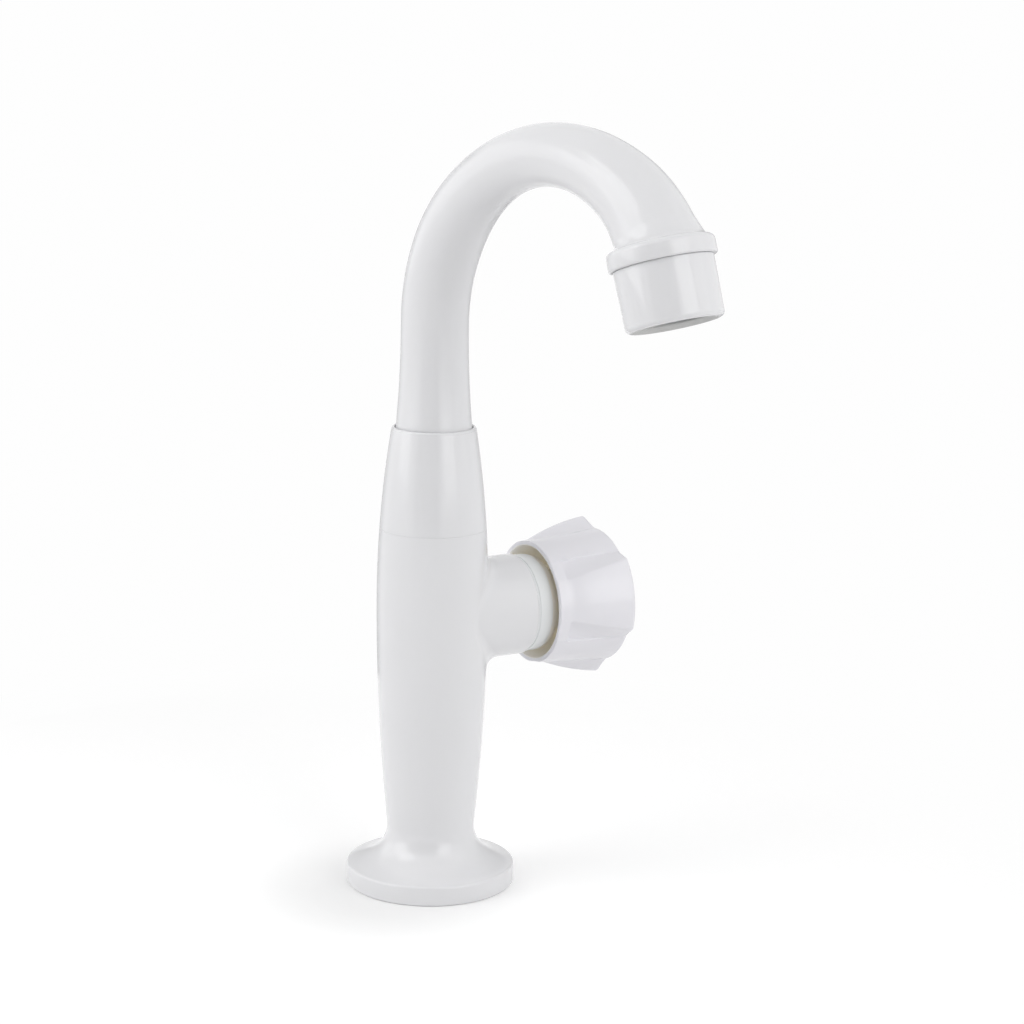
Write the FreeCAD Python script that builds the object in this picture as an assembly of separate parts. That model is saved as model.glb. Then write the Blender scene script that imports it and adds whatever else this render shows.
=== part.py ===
import FreeCAD, Part
import math
import os

from FreeCAD import Placement, Rotation, Vector

# Pillar tap: a slim barrel body on a round foot, a gooseneck spout that swivels in a screwed
# sleeve, and a three-lobed knob on a screw-down valve that lies across the body.
# Millimetres. The origin is the middle of the foot's underside, on the deck.
# +Z is up and +X runs along the knob's axis, away from the body.

# Foot and barrel
foot_r = 25.0
foot_edge_round = 0.6
foot_flare_r = 16.0
neck_flare_r = 10.0
neck_flare_turn = 50.0
neck_z = 17.0
barrel_r = 16.45
barrel_low_arc_r = 686.0
knob_axis_z = 81.8
belly_rise = 4.2
barrel_z = knob_axis_z + belly_rise
seam_rise = 26.2
seam_z = knob_axis_z + seam_rise
seam_chamfer = 0.2
sleeve_height = 30.0
sleeve_top_z = seam_z + sleeve_height
sleeve_rim_wall = 0.88
sleeve_rim_round = 0.6

# Boss for the valve
boss_inset = 1.39
boss_r = barrel_r - boss_inset
boss_end_x = 28.0
boss_fillet_r = 4.5
boss_edge_round = 0.5

# Waterway in the body
inlet_r = 6.5
inlet_top_z = knob_axis_z + inlet_r
seat_hole_r = 5.5
seat_x = 9.5
seat_lip_height = 0.8
seat_lip_wall = 1.4
chamber_r = 10.2
cavity_r = 10.0
cavity_depth = 6.0
cavity_floor_z = seam_z - cavity_depth
crossover_r = 3.2
crossover_low_x = 13.5
crossover_low_rise = 4.2
crossover_low_z = knob_axis_z + crossover_low_rise
crossover_high_x = 4.0
crossover_reach = 2.0
crossover_high_z = cavity_floor_z + crossover_reach

# Fits
running_gap = 0.07
free_gap = 0.3
thread_gap = 0.1
ring_gap = 0.03

# Screwed joint of body and sleeve
ring_room_depth = 2.3
ring_room_r = cavity_r + ring_room_depth
spigot_step = 0.7
spigot_r = ring_room_r + spigot_step
spigot_height = 14.0
spigot_top_z = seam_z + spigot_height
spigot_top_gap = 0.5
ring_room_floor_z = spigot_top_z + spigot_top_gap
retainer_rise = 1.1
retainer_groove_z = ring_room_floor_z + retainer_rise
retainer_thickness = 1.4
retainer_groove_depth = 1.1
retainer_mouth = 60.0
slip_ring_thickness = 1.8
slip_ring_play = 0.5
sleeve_shoulder_z = retainer_groove_z + retainer_thickness + slip_ring_thickness + slip_ring_play
sleeve_shoulder_height = 3.7

# Spout
spout_azimuth = -78.8
spout_foot_r = 11.15
spout_leg_r = 9.85
spout_throat_r = 8.55
spout_collar_r = 12.1
spout_bore_r = 6.4
foot_taper_length = 28.0
throat_taper_start = 50.0
throat_taper_end = 97.0
flare_power = 1.8
leg_length = 30.1
arch_r = 51.3
arch_turn = 120.3
drop_r = 33.3
drop_turn = 41.5
spout_plug_lift = 1.5
spout_plug_bottom_z = cavity_floor_z + spout_plug_lift
spout_ring_rise = 4.0
spout_ring_pitch = 6.0
spout_ring_low_z = spout_plug_bottom_z + spout_ring_rise
spout_ring_high_z = spout_ring_low_z + spout_ring_pitch
ring_cord_r = 0.9

# Collar and aerator
nipple_r = 11.0
nipple_length = 7.5
nipple_wall = 2.8
nipple_bore_r = nipple_r - nipple_wall
shell_wall = 2.33
shell_r = nipple_r + thread_gap + shell_wall
shell_draft = 0.25
shell_length = 16.25
shell_bottom_round = 1.5
shell_seam = 0.25
shell_lip_height = 1.8
mouth_edge = 0.2
mouth_flare_height = 1.2
bead_overhang = 1.1
bead_r = shell_r + bead_overhang
bead_height = 4.0
bead_top_round = 1.2
bead_root_run = 3.0
bead_root_sink = 1.9
bead_edge_round = 0.7
aerator_gasket_thickness = 1.6
cartridge_step = 0.25
cartridge_r = nipple_r - cartridge_step
mouth_step = 0.85
mouth_r = cartridge_r - mouth_step
cartridge_wall = 1.1
cartridge_lip = 1.2
spider_arm_width = 0.9
spider_height = 1.6
flow_disc_thickness = 1.2
flow_hole_r = 0.7
flow_hole_count = 16
flow_hole_circle_r = 6.8
screen_thickness = 0.4
screen_bar = 0.5
screen_pitch = 1.7

# Headwork
gasket_thickness = 0.8
gasket_inset = 0.15
flange_start_x = boss_end_x + gasket_thickness
bonnet_flange_inset = 0.56
bonnet_flange_r = boss_r - bonnet_flange_inset
bonnet_flange_width = 3.2
bonnet_flange_end_x = flange_start_x + bonnet_flange_width
bonnet_flat_depth = 1.0
bonnet_flat_length = 4.0
bonnet_neck_r = 9.0
bonnet_neck_length = 11.0
bonnet_end_x = bonnet_flange_end_x + bonnet_neck_length
broach_across = 13.6
broach_reach = 2.5
broach_end_x = bonnet_flange_end_x + broach_reach
spindle_r = 4.0
spindle_collar_r = 6.0
spindle_collar_width = 2.2
spindle_stub_r = 3.0
spindle_stub_gap = 0.7
spindle_ring_set_back = 2.6
spindle_ring_outer_x = bonnet_end_x - spindle_ring_set_back
spindle_ring_pitch = 3.6
spindle_ring_inner_x = spindle_ring_outer_x - spindle_ring_pitch
spindle_cord_r = 0.7
slip_washer_thickness = 0.8
slip_washer_r = 7.0
clip_x = bonnet_end_x + free_gap + slip_washer_thickness
clip_thickness = 0.9
clip_groove_depth = 0.8
clip_rim = 1.9
clip_mouth = 80.0
hub_gap = 0.4
hub_start_x = clip_x + clip_thickness + hub_gap
hub_socket_depth = 5.0
spindle_end_x = hub_start_x + hub_socket_depth
spline_tooth_count = 20
spline_depth = 0.5
spline_run_out = 0.2
spline_root_x = hub_start_x + spline_run_out

# Valve
valve_travel = 3.8
valve_washer_r = 7.0
valve_washer_thickness = 3.0
jumper_plate_r = 7.6
jumper_plate_thickness = 2.0
jumper_end_gap = 0.4
jumper_bore_wall = 0.8
jumper_screw_r = 1.9
jumper_screw_depth = 3.4
jumper_head_r = 3.4
jumper_head_height = 1.5
driver_slot_width = 0.8
driver_slot_depth = 0.7

# Knob
knob_skirt_gap = 1.2
knob_skirt_x = bonnet_flange_end_x + knob_skirt_gap
knob_skirt_r = 18.5
knob_wall = 1.5
knob_inner_r = knob_skirt_r - knob_wall
knob_skirt_ring = 3.5
screw_head_height = 2.2
screw_head_gap = 0.6
cap_thickness = 1.6
hub_web = 2.2
head_seat_x = spindle_end_x + hub_web
cap_seat_x = head_seat_x + screw_head_height + screw_head_gap
knob_end_x = cap_seat_x + cap_thickness
knob_end_r = 20.4
knob_end_round = 1.2
knob_web = 3.2
lobe_count = 3
lobe_middle_angle = 11.8
lobe_half_width = 39.2
lobe_crest_skirt = 19.0
lobe_crest_rim = 27.0
lobe_rim_set_back = 1.6
lobe_rim_x = knob_end_x - lobe_rim_set_back
lobe_rim_height = 3.53
lobe_belly_set_back = 8.4
lobe_belly_x = lobe_rim_x - lobe_belly_set_back
lobe_belly_height = 2.7
lobe_root_height = 0.07
lobe_sink = 0.8
hub_r = 7.0
screw_hole_r = 2.1
screw_r = 2.0
screw_length = 9.0
screw_head_r = 3.6
screw_drive_across = 2.5
screw_drive_depth = 1.3
cap_r = 8.0
cap_crown = 0.6

# Shank and fixing below the deck
shank_r = 10.4775
shank_bore_r = 6.5
shank_top_z = 19.0
shank_plug_r = 9.5
shank_collar_r = 12.2
shank_collar_height = 3.0
shank_bottom_z = -52.0
shank_end_round = 0.6
thread_pitch = 1.814
thread_depth = 0.9
thread_groove_share = 0.4
thread_start_z = -3.0
nut_thread_turns = 15
tail_thread_turns = 11
shank_ring_z = 13.0
base_seal_inner_r = 15.8
base_seal_outer_r = 21.5
base_seal_height = 2.2
base_seal_rib = 0.5
deck_thickness = 18.0
deck_washer_r = 17.0
deck_washer_thickness = 2.5
nut_across = 30.0
nut_height = 9.0
nut_flange_r = 18.0
nut_flange_height = 2.0
nut_bore_r = 10.6

origin = Vector(0, 0, 0)
up = Vector(0, 0, 1)
side = Vector(0, 1, 0)


def corner_cut(before, corner, after, radius):
    """The two tangent points and the middle of the arc that rounds one corner."""
    back = (before - corner).normalize()
    ahead = (after - corner).normalize()
    half = back.getAngle(ahead) / 2
    run = radius / math.tan(half)
    bisector = (back + ahead).normalize()
    middle = corner + bisector * (radius / math.sin(half) - radius)
    return corner + back * run, middle, corner + ahead * run


def outline(points):
    """A closed face in the XZ plane. A point is (r, z), or (r, z, rounding)."""
    corners = [Vector(p[0], 0, p[1]) for p in points]
    stops = []
    for i, point in enumerate(points):
        if len(point) == 2:
            stops.append((corners[i], None, corners[i]))
        else:
            after = corners[(i + 1) % len(points)]
            stops.append(corner_cut(corners[i - 1], corners[i], after, point[2]))
    edges = []
    for i, (start, middle, end) in enumerate(stops):
        if middle is not None:
            edges.append(Part.Arc(start, middle, end).toShape())
        following = stops[(i + 1) % len(stops)][0]
        if end.distanceToPoint(following) > 1e-6:
            edges.append(Part.makeLine(end, following))
    return Part.Face(Part.Wire(edges))


def lathe(points):
    """A solid of revolution about Z."""
    return outline(points).revolve(origin, up, 360)


def ring(inner, outer, low, high, rounding=0.0):
    """A flat ring or bush about Z, with its outer corners rounded."""
    if rounding:
        return lathe([(inner, low), (outer, low, rounding), (outer, high, rounding), (inner, high)])
    return lathe([(inner, low), (outer, low), (outer, high), (inner, high)])


def disc(radius, low, high):
    return Part.makeCylinder(radius, high - low, Vector(0, 0, low))


def cord_ring(middle_r, cord_r, z):
    """An O-ring about Z."""
    return Part.makeTorus(middle_r, cord_r, Vector(0, 0, z))


def hexagon(across, low, high):
    """A hexagonal prism about Z, by the distance across its flats."""
    reach = across / math.sqrt(3)
    points = []
    for i in range(7):
        angle = math.radians(60 * i)
        points.append(Vector(reach * math.cos(angle), reach * math.sin(angle), low))
    return Part.Face(Part.makePolygon(points)).extrude(up * (high - low))


def sector(angle, reach, low, high):
    """A wedge about +X, open by the whole angle, that cuts the mouth of a clip."""
    half = math.radians(angle / 2)
    corners = [origin, Vector(reach, -reach * math.tan(half), 0), Vector(reach, reach * math.tan(half), 0)]
    wedge = Part.Face(Part.makePolygon(corners + [origin])).extrude(up * (high - low))
    wedge.translate(up * low)
    return wedge


def placed(shape, placement):
    moved = shape.copy()
    moved.Placement = placement.multiply(moved.Placement)
    return moved


def one(shape):
    """The tidy single solid of a boolean result."""
    return shape.removeSplitter()


def save(name, shape):
    shape.exportStep("parts/" + name + ".step")
    print(name, len(shape.Solids), "solid", round(shape.Volume, 1), shape.isValid())


# The knob's axis lies along +X, so what turns about it is made about Z and laid over.
across = Placement(Vector(0, 0, knob_axis_z), Rotation(side, 90))


# The barrel is two shallow arcs that meet upright at its widest point. The upper one runs out
# to the sleeve's rim, which is a thin wall round the spout.
rim_rise = sleeve_top_z - barrel_z
rim_drop = barrel_r - (spout_foot_r + free_gap + sleeve_rim_wall)
barrel_high_arc_r = (rim_rise ** 2 + rim_drop ** 2) / (2 * rim_drop)


def barrel_point(z):
    arc_r = barrel_low_arc_r if z < barrel_z else barrel_high_arc_r
    rise = z - barrel_z
    return Vector(barrel_r - arc_r + math.sqrt(arc_r ** 2 - rise ** 2), 0, z)


def barrel_edge(low, high):
    return Part.Arc(barrel_point(low), barrel_point((low + high) / 2), barrel_point(high)).toShape()


# The neck's flare touches the barrel's lower arc, and the foot's flare touches the neck's.
barrel_centre_r = barrel_r - barrel_low_arc_r
flare_reach = barrel_low_arc_r + neck_flare_r
neck_centre = Vector(barrel_centre_r + math.sqrt(flare_reach ** 2 - (barrel_z - neck_z) ** 2), 0, neck_z)
neck_touch_z = barrel_z - (barrel_z - neck_z) * barrel_low_arc_r / flare_reach


def neck_point(angle):
    turn = math.radians(angle)
    return neck_centre - Vector(math.cos(turn), 0, math.sin(turn)) * neck_flare_r


flare_direction = Vector(math.cos(math.radians(neck_flare_turn)), 0, math.sin(math.radians(neck_flare_turn)))
flare_start = neck_point(neck_flare_turn)
flare_centre = flare_start + flare_direction * foot_flare_r


def foot_point(r):
    drop = math.sqrt(foot_flare_r ** 2 - (flare_centre.x - r) ** 2)
    return Vector(r, 0, flare_centre.z - drop)


foot_shoulder = foot_point(foot_r - foot_edge_round)
foot_edge_z = foot_shoulder.z - foot_edge_round


def body_skin():
    """The turned outside of foot, flare and barrel, with the spigot for the sleeve on top."""
    bottom_in = Vector(foot_r - foot_edge_round / 2, 0, 0)
    bottom_out = Vector(foot_r, 0, foot_edge_round / 2)
    foot_side = Vector(foot_r, 0, foot_edge_z)
    rim_turn = foot_edge_round * math.sqrt(0.5)
    rim_middle = Vector(foot_r - foot_edge_round + rim_turn, 0, foot_edge_z + rim_turn)
    touch = barrel_point(neck_touch_z)
    seam_edge = barrel_point(seam_z - seam_chamfer)
    seam_step = Vector(seam_edge.x - seam_chamfer, 0, seam_z)
    spigot_foot = Vector(spigot_r, 0, seam_z)
    spigot_top = Vector(spigot_r, 0, spigot_top_z)
    edges = [
        Part.makeLine(origin, bottom_in),
        Part.makeLine(bottom_in, bottom_out),
        Part.makeLine(bottom_out, foot_side),
        Part.Arc(foot_side, rim_middle, foot_shoulder).toShape(),
        Part.Arc(foot_shoulder, foot_point((foot_shoulder.x + flare_start.x) / 2), flare_start).toShape(),
        Part.Arc(flare_start, neck_point(neck_flare_turn / 2), touch).toShape(),
        barrel_edge(neck_touch_z, barrel_z),
        barrel_edge(barrel_z, seam_z - seam_chamfer),
        Part.makeLine(seam_edge, seam_step),
        Part.makeLine(seam_step, spigot_foot),
        Part.makeLine(spigot_foot, spigot_top),
        Part.makeLine(spigot_top, up * spigot_top_z),
        Part.makeLine(up * spigot_top_z, origin),
    ]
    return Part.Face(Part.Wire(edges)).revolve(origin, up, 360)


def boss_roots(shape):
    """The curved edges where the boss meets the barrel."""
    roots = []
    for edge in shape.Edges:
        middle = edge.valueAt((edge.FirstParameter + edge.LastParameter) / 2)
        on_boss = abs(math.hypot(middle.y, middle.z - knob_axis_z) - boss_r) < 1e-3
        if on_boss and middle.x < boss_end_x - boss_edge_round * 2 and edge.Curve.TypeId != "Part::GeomLine":
            roots.append(edge)
    return roots


def make_body():
    boss_blank = lathe([(0, 0), (boss_r, 0), (boss_r, boss_end_x, boss_edge_round), (0, boss_end_x)])
    boss = placed(boss_blank, across)
    skin = body_skin().fuse(boss)
    skin = skin.makeFillet(boss_fillet_r, boss_roots(skin))
    chamber_floor_x = seat_x - seat_lip_height
    lip_r = seat_hole_r + seat_lip_wall
    chamber = lathe([
        (0, -inlet_r / 2), (seat_hole_r, -inlet_r / 2), (seat_hole_r, seat_x), (lip_r, seat_x),
        (lip_r, chamber_floor_x), (chamber_r, chamber_floor_x), (chamber_r, boss_end_x), (0, boss_end_x),
    ])
    low = Vector(crossover_low_x, 0, crossover_low_z)
    high = Vector(crossover_high_x, 0, crossover_high_z)
    crossover = Part.makeCylinder(crossover_r, low.distanceToPoint(high), low, high - low)
    voids = [
        disc(shank_collar_r + thread_gap, 0, shank_collar_height),
        disc(shank_plug_r + thread_gap, 0, shank_top_z + free_gap),
        disc(inlet_r, shank_top_z, inlet_top_z),
        ring(base_seal_inner_r, base_seal_outer_r, 0, base_seal_height),
        disc(cavity_r, cavity_floor_z, spigot_top_z),
        placed(chamber, across),
        crossover,
    ]
    return one(skin.cut(voids))


def make_sleeve():
    """The upper barrel: a long nut that holds the spout down and runs out to its own rim."""
    outer_low = barrel_point(seam_z + seam_chamfer)
    rim_side = barrel_point(sleeve_top_z - sleeve_rim_round)
    sleeve_mouth_r = spout_foot_r + free_gap
    rim_top = Vector(rim_side.x - sleeve_rim_round, 0, sleeve_top_z)
    rim_turn = sleeve_rim_round * math.sqrt(0.5)
    rim_middle = rim_top + Vector(rim_turn, 0, rim_turn - sleeve_rim_round)
    inner = [
        Vector(sleeve_mouth_r, 0, sleeve_top_z),
        Vector(sleeve_mouth_r, 0, sleeve_shoulder_z + sleeve_shoulder_height),
        Vector(cavity_r, 0, sleeve_shoulder_z + sleeve_shoulder_height),
        Vector(cavity_r, 0, sleeve_shoulder_z),
        Vector(ring_room_r, 0, sleeve_shoulder_z),
        Vector(ring_room_r, 0, ring_room_floor_z),
        Vector(spigot_r + thread_gap, 0, ring_room_floor_z),
        Vector(spigot_r + thread_gap, 0, seam_z),
        Vector(outer_low.x - seam_chamfer, 0, seam_z),
        outer_low,
    ]
    edges = [
        barrel_edge(seam_z + seam_chamfer, sleeve_top_z - sleeve_rim_round),
        Part.Arc(rim_side, rim_middle, rim_top).toShape(),
        Part.makeLine(rim_top, inner[0]),
    ]
    for start, end in zip(inner, inner[1:]):
        edges.append(Part.makeLine(start, end))
    return Part.Face(Part.Wire(edges)).revolve(origin, up, 360)


# The spout's middle line runs straight up, round the arch and into the tighter drop.
arch_start_z = sleeve_top_z + leg_length
arch_length = arch_r * math.radians(arch_turn)
drop_length = drop_r * math.radians(drop_turn)
spout_length = leg_length + arch_length + drop_length
outlet_tilt = arch_turn + drop_turn


def spout_station(run):
    """The middle point and the heading, in degrees from upright, at a run along the line."""
    if run <= leg_length:
        return Vector(0, 0, sleeve_top_z + run), 0.0
    turn = min(run - leg_length, arch_length) / arch_r
    point = Vector(arch_r * (1 - math.cos(turn)), 0, arch_start_z + arch_r * math.sin(turn))
    if run <= leg_length + arch_length:
        return point, math.degrees(turn)
    further = turn + (run - leg_length - arch_length) / drop_r
    reach = point.x + drop_r * (math.cos(turn) - math.cos(further))
    height = point.z + drop_r * (math.sin(further) - math.sin(turn))
    return Vector(reach, 0, height), math.degrees(further)


def spout_outer_r(run):
    """Wide at the sleeve, slimmest past the top of the arch and flared into the collar."""
    foot = max(0.0, 1 - run / foot_taper_length) ** 2
    taper = min(1.0, max(0.0, (run - throat_taper_start) / (throat_taper_end - throat_taper_start)))
    blend = (1 - math.cos(math.pi * taper)) / 2
    flare = max(0.0, (run - throat_taper_end) / (spout_length - throat_taper_end)) ** flare_power
    leg = spout_leg_r + (spout_foot_r - spout_leg_r) * foot
    return leg + (spout_throat_r - spout_leg_r) * blend + (spout_collar_r - spout_throat_r) * flare


def circle_at(centre, heading, radius):
    turn = math.radians(heading)
    normal = Vector(math.sin(turn), 0, math.cos(turn))
    return Part.Wire(Part.Circle(centre, normal, radius).toShape())


section_count = 21
outlet_end = spout_station(spout_length)[0]
turned = Placement(origin, Rotation(up, spout_azimuth))
at_outlet = turned.multiply(Placement(outlet_end, Rotation(side, outlet_tilt)))
spout_plug_r = cavity_r - running_gap
plug_top_z = sleeve_shoulder_z + sleeve_shoulder_height + free_gap
groove_floor_r = cavity_r - running_gap - 2 * ring_cord_r - ring_gap
retainer_groove_r = spout_plug_r - retainer_groove_depth


def spout_tube():
    sections = []
    for i in range(section_count):
        run = spout_length * i / (section_count - 1)
        centre, heading = spout_station(run)
        sections.append(circle_at(centre, heading, spout_outer_r(run)))
    return Part.makeLoft(sections, True, False)


def spout_bore():
    """One bore of the same width all the way: straight, arch and drop joined tangent."""
    arch_mid = spout_station(leg_length + arch_length / 2)[0]
    arch_end = spout_station(leg_length + arch_length)[0]
    drop_mid = spout_station(leg_length + arch_length + drop_length / 2)[0]
    arch_start = spout_station(leg_length)[0]
    path = Part.Wire([
        Part.makeLine(up * spout_plug_bottom_z, arch_start),
        Part.Arc(arch_start, arch_mid, arch_end).toShape(),
        Part.Arc(arch_end, drop_mid, outlet_end).toShape(),
    ])
    return path.makePipeShell([circle_at(up * spout_plug_bottom_z, 0, spout_bore_r)], True, False)


def spout_collar():
    """The bead that the tube flares into, and the threaded nipple below it."""
    root_r = spout_collar_r - bead_root_sink
    bead_top = -bead_height - bead_top_round
    edges_start = Vector(root_r, 0, bead_top - bead_root_run)
    shoulder = Vector(bead_r - bead_top_round, 0, bead_top)
    hollow = Vector((root_r * 2 + shoulder.x) / 3, 0, bead_top - bead_root_run / 4)
    top_set_back = bead_top_round * (1 - math.sqrt(0.5))
    crown = Vector(bead_r - top_set_back, 0, bead_top + top_set_back)
    side_top = Vector(bead_r, 0, -bead_height)
    side_low = Vector(bead_r, 0, -bead_edge_round)
    foot = Vector(bead_r - bead_edge_round, 0, 0)
    edge_set_back = bead_edge_round * (1 - math.sqrt(0.5))
    edge_mid = Vector(bead_r - edge_set_back, 0, -edge_set_back)
    edges = [
        Part.makeLine(Vector(0, 0, edges_start.z), edges_start),
        Part.Arc(edges_start, hollow, shoulder).toShape(),
        Part.Arc(shoulder, crown, side_top).toShape(),
        Part.makeLine(side_top, side_low),
        Part.Arc(side_low, edge_mid, foot).toShape(),
        Part.makeLine(foot, Vector(nipple_r, 0, 0)),
        Part.makeLine(Vector(nipple_r, 0, 0), Vector(nipple_r, 0, nipple_length)),
        Part.makeLine(Vector(nipple_r, 0, nipple_length), Vector(0, 0, nipple_length)),
        Part.makeLine(Vector(0, 0, nipple_length), Vector(0, 0, edges_start.z)),
    ]
    return Part.Face(Part.Wire(edges)).revolve(origin, up, 360)


def make_spout():
    tilt = Placement(outlet_end, Rotation(side, outlet_tilt))
    plug = lathe([
        (0, spout_plug_bottom_z), (spout_plug_r, spout_plug_bottom_z, 0.5), (spout_plug_r, plug_top_z),
        (spout_foot_r, plug_top_z), (spout_foot_r, sleeve_top_z), (0, sleeve_top_z),
    ])
    outer = spout_tube().fuse([plug, placed(spout_collar(), tilt)])
    groove_half = ring_cord_r + free_gap / 2
    cuts = [spout_bore(), placed(disc(nipple_bore_r, -bead_height, nipple_length), tilt)]
    for z in (spout_ring_low_z, spout_ring_high_z):
        cuts.append(ring(groove_floor_r, spout_foot_r, z - groove_half, z + groove_half))
    retainer_top = retainer_groove_z + retainer_thickness
    cuts.append(ring(retainer_groove_r, spout_foot_r, retainer_groove_z, retainer_top))
    return placed(one(outer.cut(cuts)), turned)


def make_spout_rings():
    middle_r = groove_floor_r + ring_gap / 2 + ring_cord_r
    rings = [cord_ring(middle_r, ring_cord_r, z) for z in (spout_ring_low_z, spout_ring_high_z)]
    return Part.makeCompound(rings)


def make_retainer():
    """An open spring clip in the plug's groove."""
    top = retainer_groove_z + retainer_thickness
    clip = ring(retainer_groove_r, ring_room_r - free_gap, retainer_groove_z, top)
    mouth = sector(retainer_mouth, ring_room_r * 2, retainer_groove_z, top)
    return placed(clip.cut(mouth), Placement(origin, Rotation(up, spout_azimuth + 180)))


def make_slip_ring():
    low = retainer_groove_z + retainer_thickness
    return ring(spout_plug_r + ring_gap, ring_room_r - free_gap, low, low + slip_ring_thickness)


# The aerator's pieces are made about Z with the collar's underside at 0 and the water running up.
shell_top = shell_seam
shell_bottom = shell_top + shell_length
shell_ledge = shell_bottom - shell_lip_height
cartridge_top = nipple_length + aerator_gasket_thickness
cartridge_inner_r = cartridge_r - cartridge_wall
flow_disc_top = cartridge_top + cartridge_lip


def make_aerator_shell():
    thread_r = nipple_r + thread_gap
    flare_r = shell_r - shell_draft - shell_bottom_round - mouth_edge
    return placed(lathe([
        (thread_r, shell_top), (shell_r, shell_top, 0.3),
        (shell_r - shell_draft, shell_bottom, shell_bottom_round),
        (flare_r, shell_bottom), (mouth_r, shell_bottom - mouth_flare_height),
        (mouth_r, shell_ledge), (thread_r, shell_ledge),
    ]), at_outlet)


def make_aerator_gasket():
    return placed(ring(nipple_bore_r, nipple_r, nipple_length, cartridge_top), at_outlet)


def make_aerator_housing():
    """A cup with a wheel of thin arms at its mouth."""
    wall = lathe([
        (cartridge_inner_r - cartridge_lip, cartridge_top), (cartridge_r, cartridge_top),
        (cartridge_r, shell_ledge), (cartridge_inner_r, shell_ledge),
        (cartridge_inner_r, flow_disc_top), (cartridge_inner_r - cartridge_lip, flow_disc_top),
    ])
    arms = []
    wheel_top = shell_ledge - spider_height
    for i in range(4):
        arm = Part.makeBox(
            2 * cartridge_inner_r + cartridge_wall, spider_arm_width, spider_height,
            Vector(-cartridge_inner_r - cartridge_wall / 2, -spider_arm_width / 2, wheel_top))
        arm.rotate(origin, up, 45 * i)
        arms.append(arm)
    for step in (1, 2, 3):
        inner = cartridge_inner_r * step / 4 - spider_arm_width / 2
        arms.append(ring(inner, inner + spider_arm_width, wheel_top, shell_ledge))
    return placed(one(wall.fuse(arms)), at_outlet)


def make_flow_disc():
    """The plate whose jets draw in the air."""
    low = flow_disc_top
    plate = disc(cartridge_inner_r, low, low + flow_disc_thickness)
    holes = []
    for i in range(flow_hole_count):
        angle = 2 * math.pi * i / flow_hole_count
        spot = Vector(flow_hole_circle_r * math.cos(angle), flow_hole_circle_r * math.sin(angle), low)
        holes.append(Part.makeCylinder(flow_hole_r, flow_disc_thickness, spot))
    return placed(plate.cut(holes), at_outlet)


def screen(low):
    """One round screen: a rim with bars across it."""
    inner = cartridge_inner_r - 2 * screen_bar
    rim = ring(inner, cartridge_inner_r, low, low + screen_thickness)
    bars = []
    count = int(inner / screen_pitch)
    for i in range(-count, count + 1):
        offset = i * screen_pitch
        half = math.sqrt(cartridge_inner_r ** 2 - offset ** 2) - screen_bar / 2
        corner = Vector(-half, offset - screen_bar / 2, low)
        bars.append(Part.makeBox(2 * half, screen_bar, screen_thickness, corner))
    return one(rim.fuse(bars))


def make_screens():
    """Two screens, the lower one turned a quarter so that their bars cross."""
    first = flow_disc_top + flow_disc_thickness
    upper = screen(first)
    lower = screen(first + screen_thickness)
    lower.rotate(origin, up, 90)
    return placed(Part.makeCompound([upper, lower]), at_outlet)


# The headwork is made about Z and laid over, so its lengths are measured from the body's axis.
bonnet_thread_r = chamber_r - thread_gap
spindle_bore_r = spindle_r + running_gap
clip_groove_r = spindle_r - clip_groove_depth
collar_start_x = broach_end_x - free_gap - spindle_collar_width
spindle_groove_r = spindle_r - 2 * spindle_cord_r - ring_gap + running_gap / 2


def make_bonnet():
    blank = lathe([
        (0, bonnet_tip_x), (bonnet_thread_r, bonnet_tip_x, 0.6), (bonnet_thread_r, flange_start_x),
        (bonnet_flange_r, flange_start_x, 0.2), (bonnet_flange_r, bonnet_flange_end_x, 0.8),
        (bonnet_neck_r, bonnet_flange_end_x), (bonnet_neck_r, bonnet_end_x, 0.6), (0, bonnet_end_x),
    ])
    broach = hexagon(broach_across, bonnet_tip_x, broach_end_x)
    bore = disc(spindle_bore_r, bonnet_tip_x, bonnet_end_x)
    flats = []
    for sign in (-1, 1):
        middle = sign * (bonnet_neck_r * 3 / 2 - bonnet_flat_depth)
        flats.append(Part.makeBox(
            2 * bonnet_neck_r, bonnet_neck_r, bonnet_flat_length,
            Vector(-bonnet_neck_r, middle - bonnet_neck_r / 2, bonnet_flange_end_x)))
    return placed(one(blank.cut([broach, bore] + flats)), across)


def make_bonnet_gasket():
    outer = bonnet_flange_r - gasket_inset
    return placed(ring(chamber_r + thread_gap, outer, boss_end_x, flange_start_x), across)


def make_spindle():
    """Threaded stub, collar, sealed journal and splined end, turned from one bar."""
    collar_end = collar_start_x + spindle_collar_width
    bar = lathe([
        (0, spindle_stub_tip_x), (spindle_stub_r, spindle_stub_tip_x, 0.5), (spindle_stub_r, collar_start_x),
        (spindle_collar_r, collar_start_x), (spindle_collar_r, collar_end),
        (spindle_r, collar_end), (spindle_r, spindle_end_x, 0.4), (0, spindle_end_x),
    ])
    cuts = [ring(clip_groove_r, spindle_collar_r, clip_x, clip_x + clip_thickness)]
    groove_half = spindle_cord_r + free_gap / 2
    for x in (spindle_ring_inner_x, spindle_ring_outer_x):
        cuts.append(ring(spindle_groove_r, spindle_collar_r, x - groove_half, x + groove_half))
    cuts.append(disc(screw_r + ring_gap, head_seat_x - screw_length - free_gap, spindle_end_x))
    for i in range(spline_tooth_count):
        notch = Part.makeBox(
            spline_depth * 2, spline_depth, spindle_end_x - spline_root_x,
            Vector(spindle_r - spline_depth, -spline_depth / 2, spline_root_x))
        notch.rotate(origin, up, 360 * i / spline_tooth_count)
        cuts.append(notch)
    return placed(one(bar.cut(cuts)), across)


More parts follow.
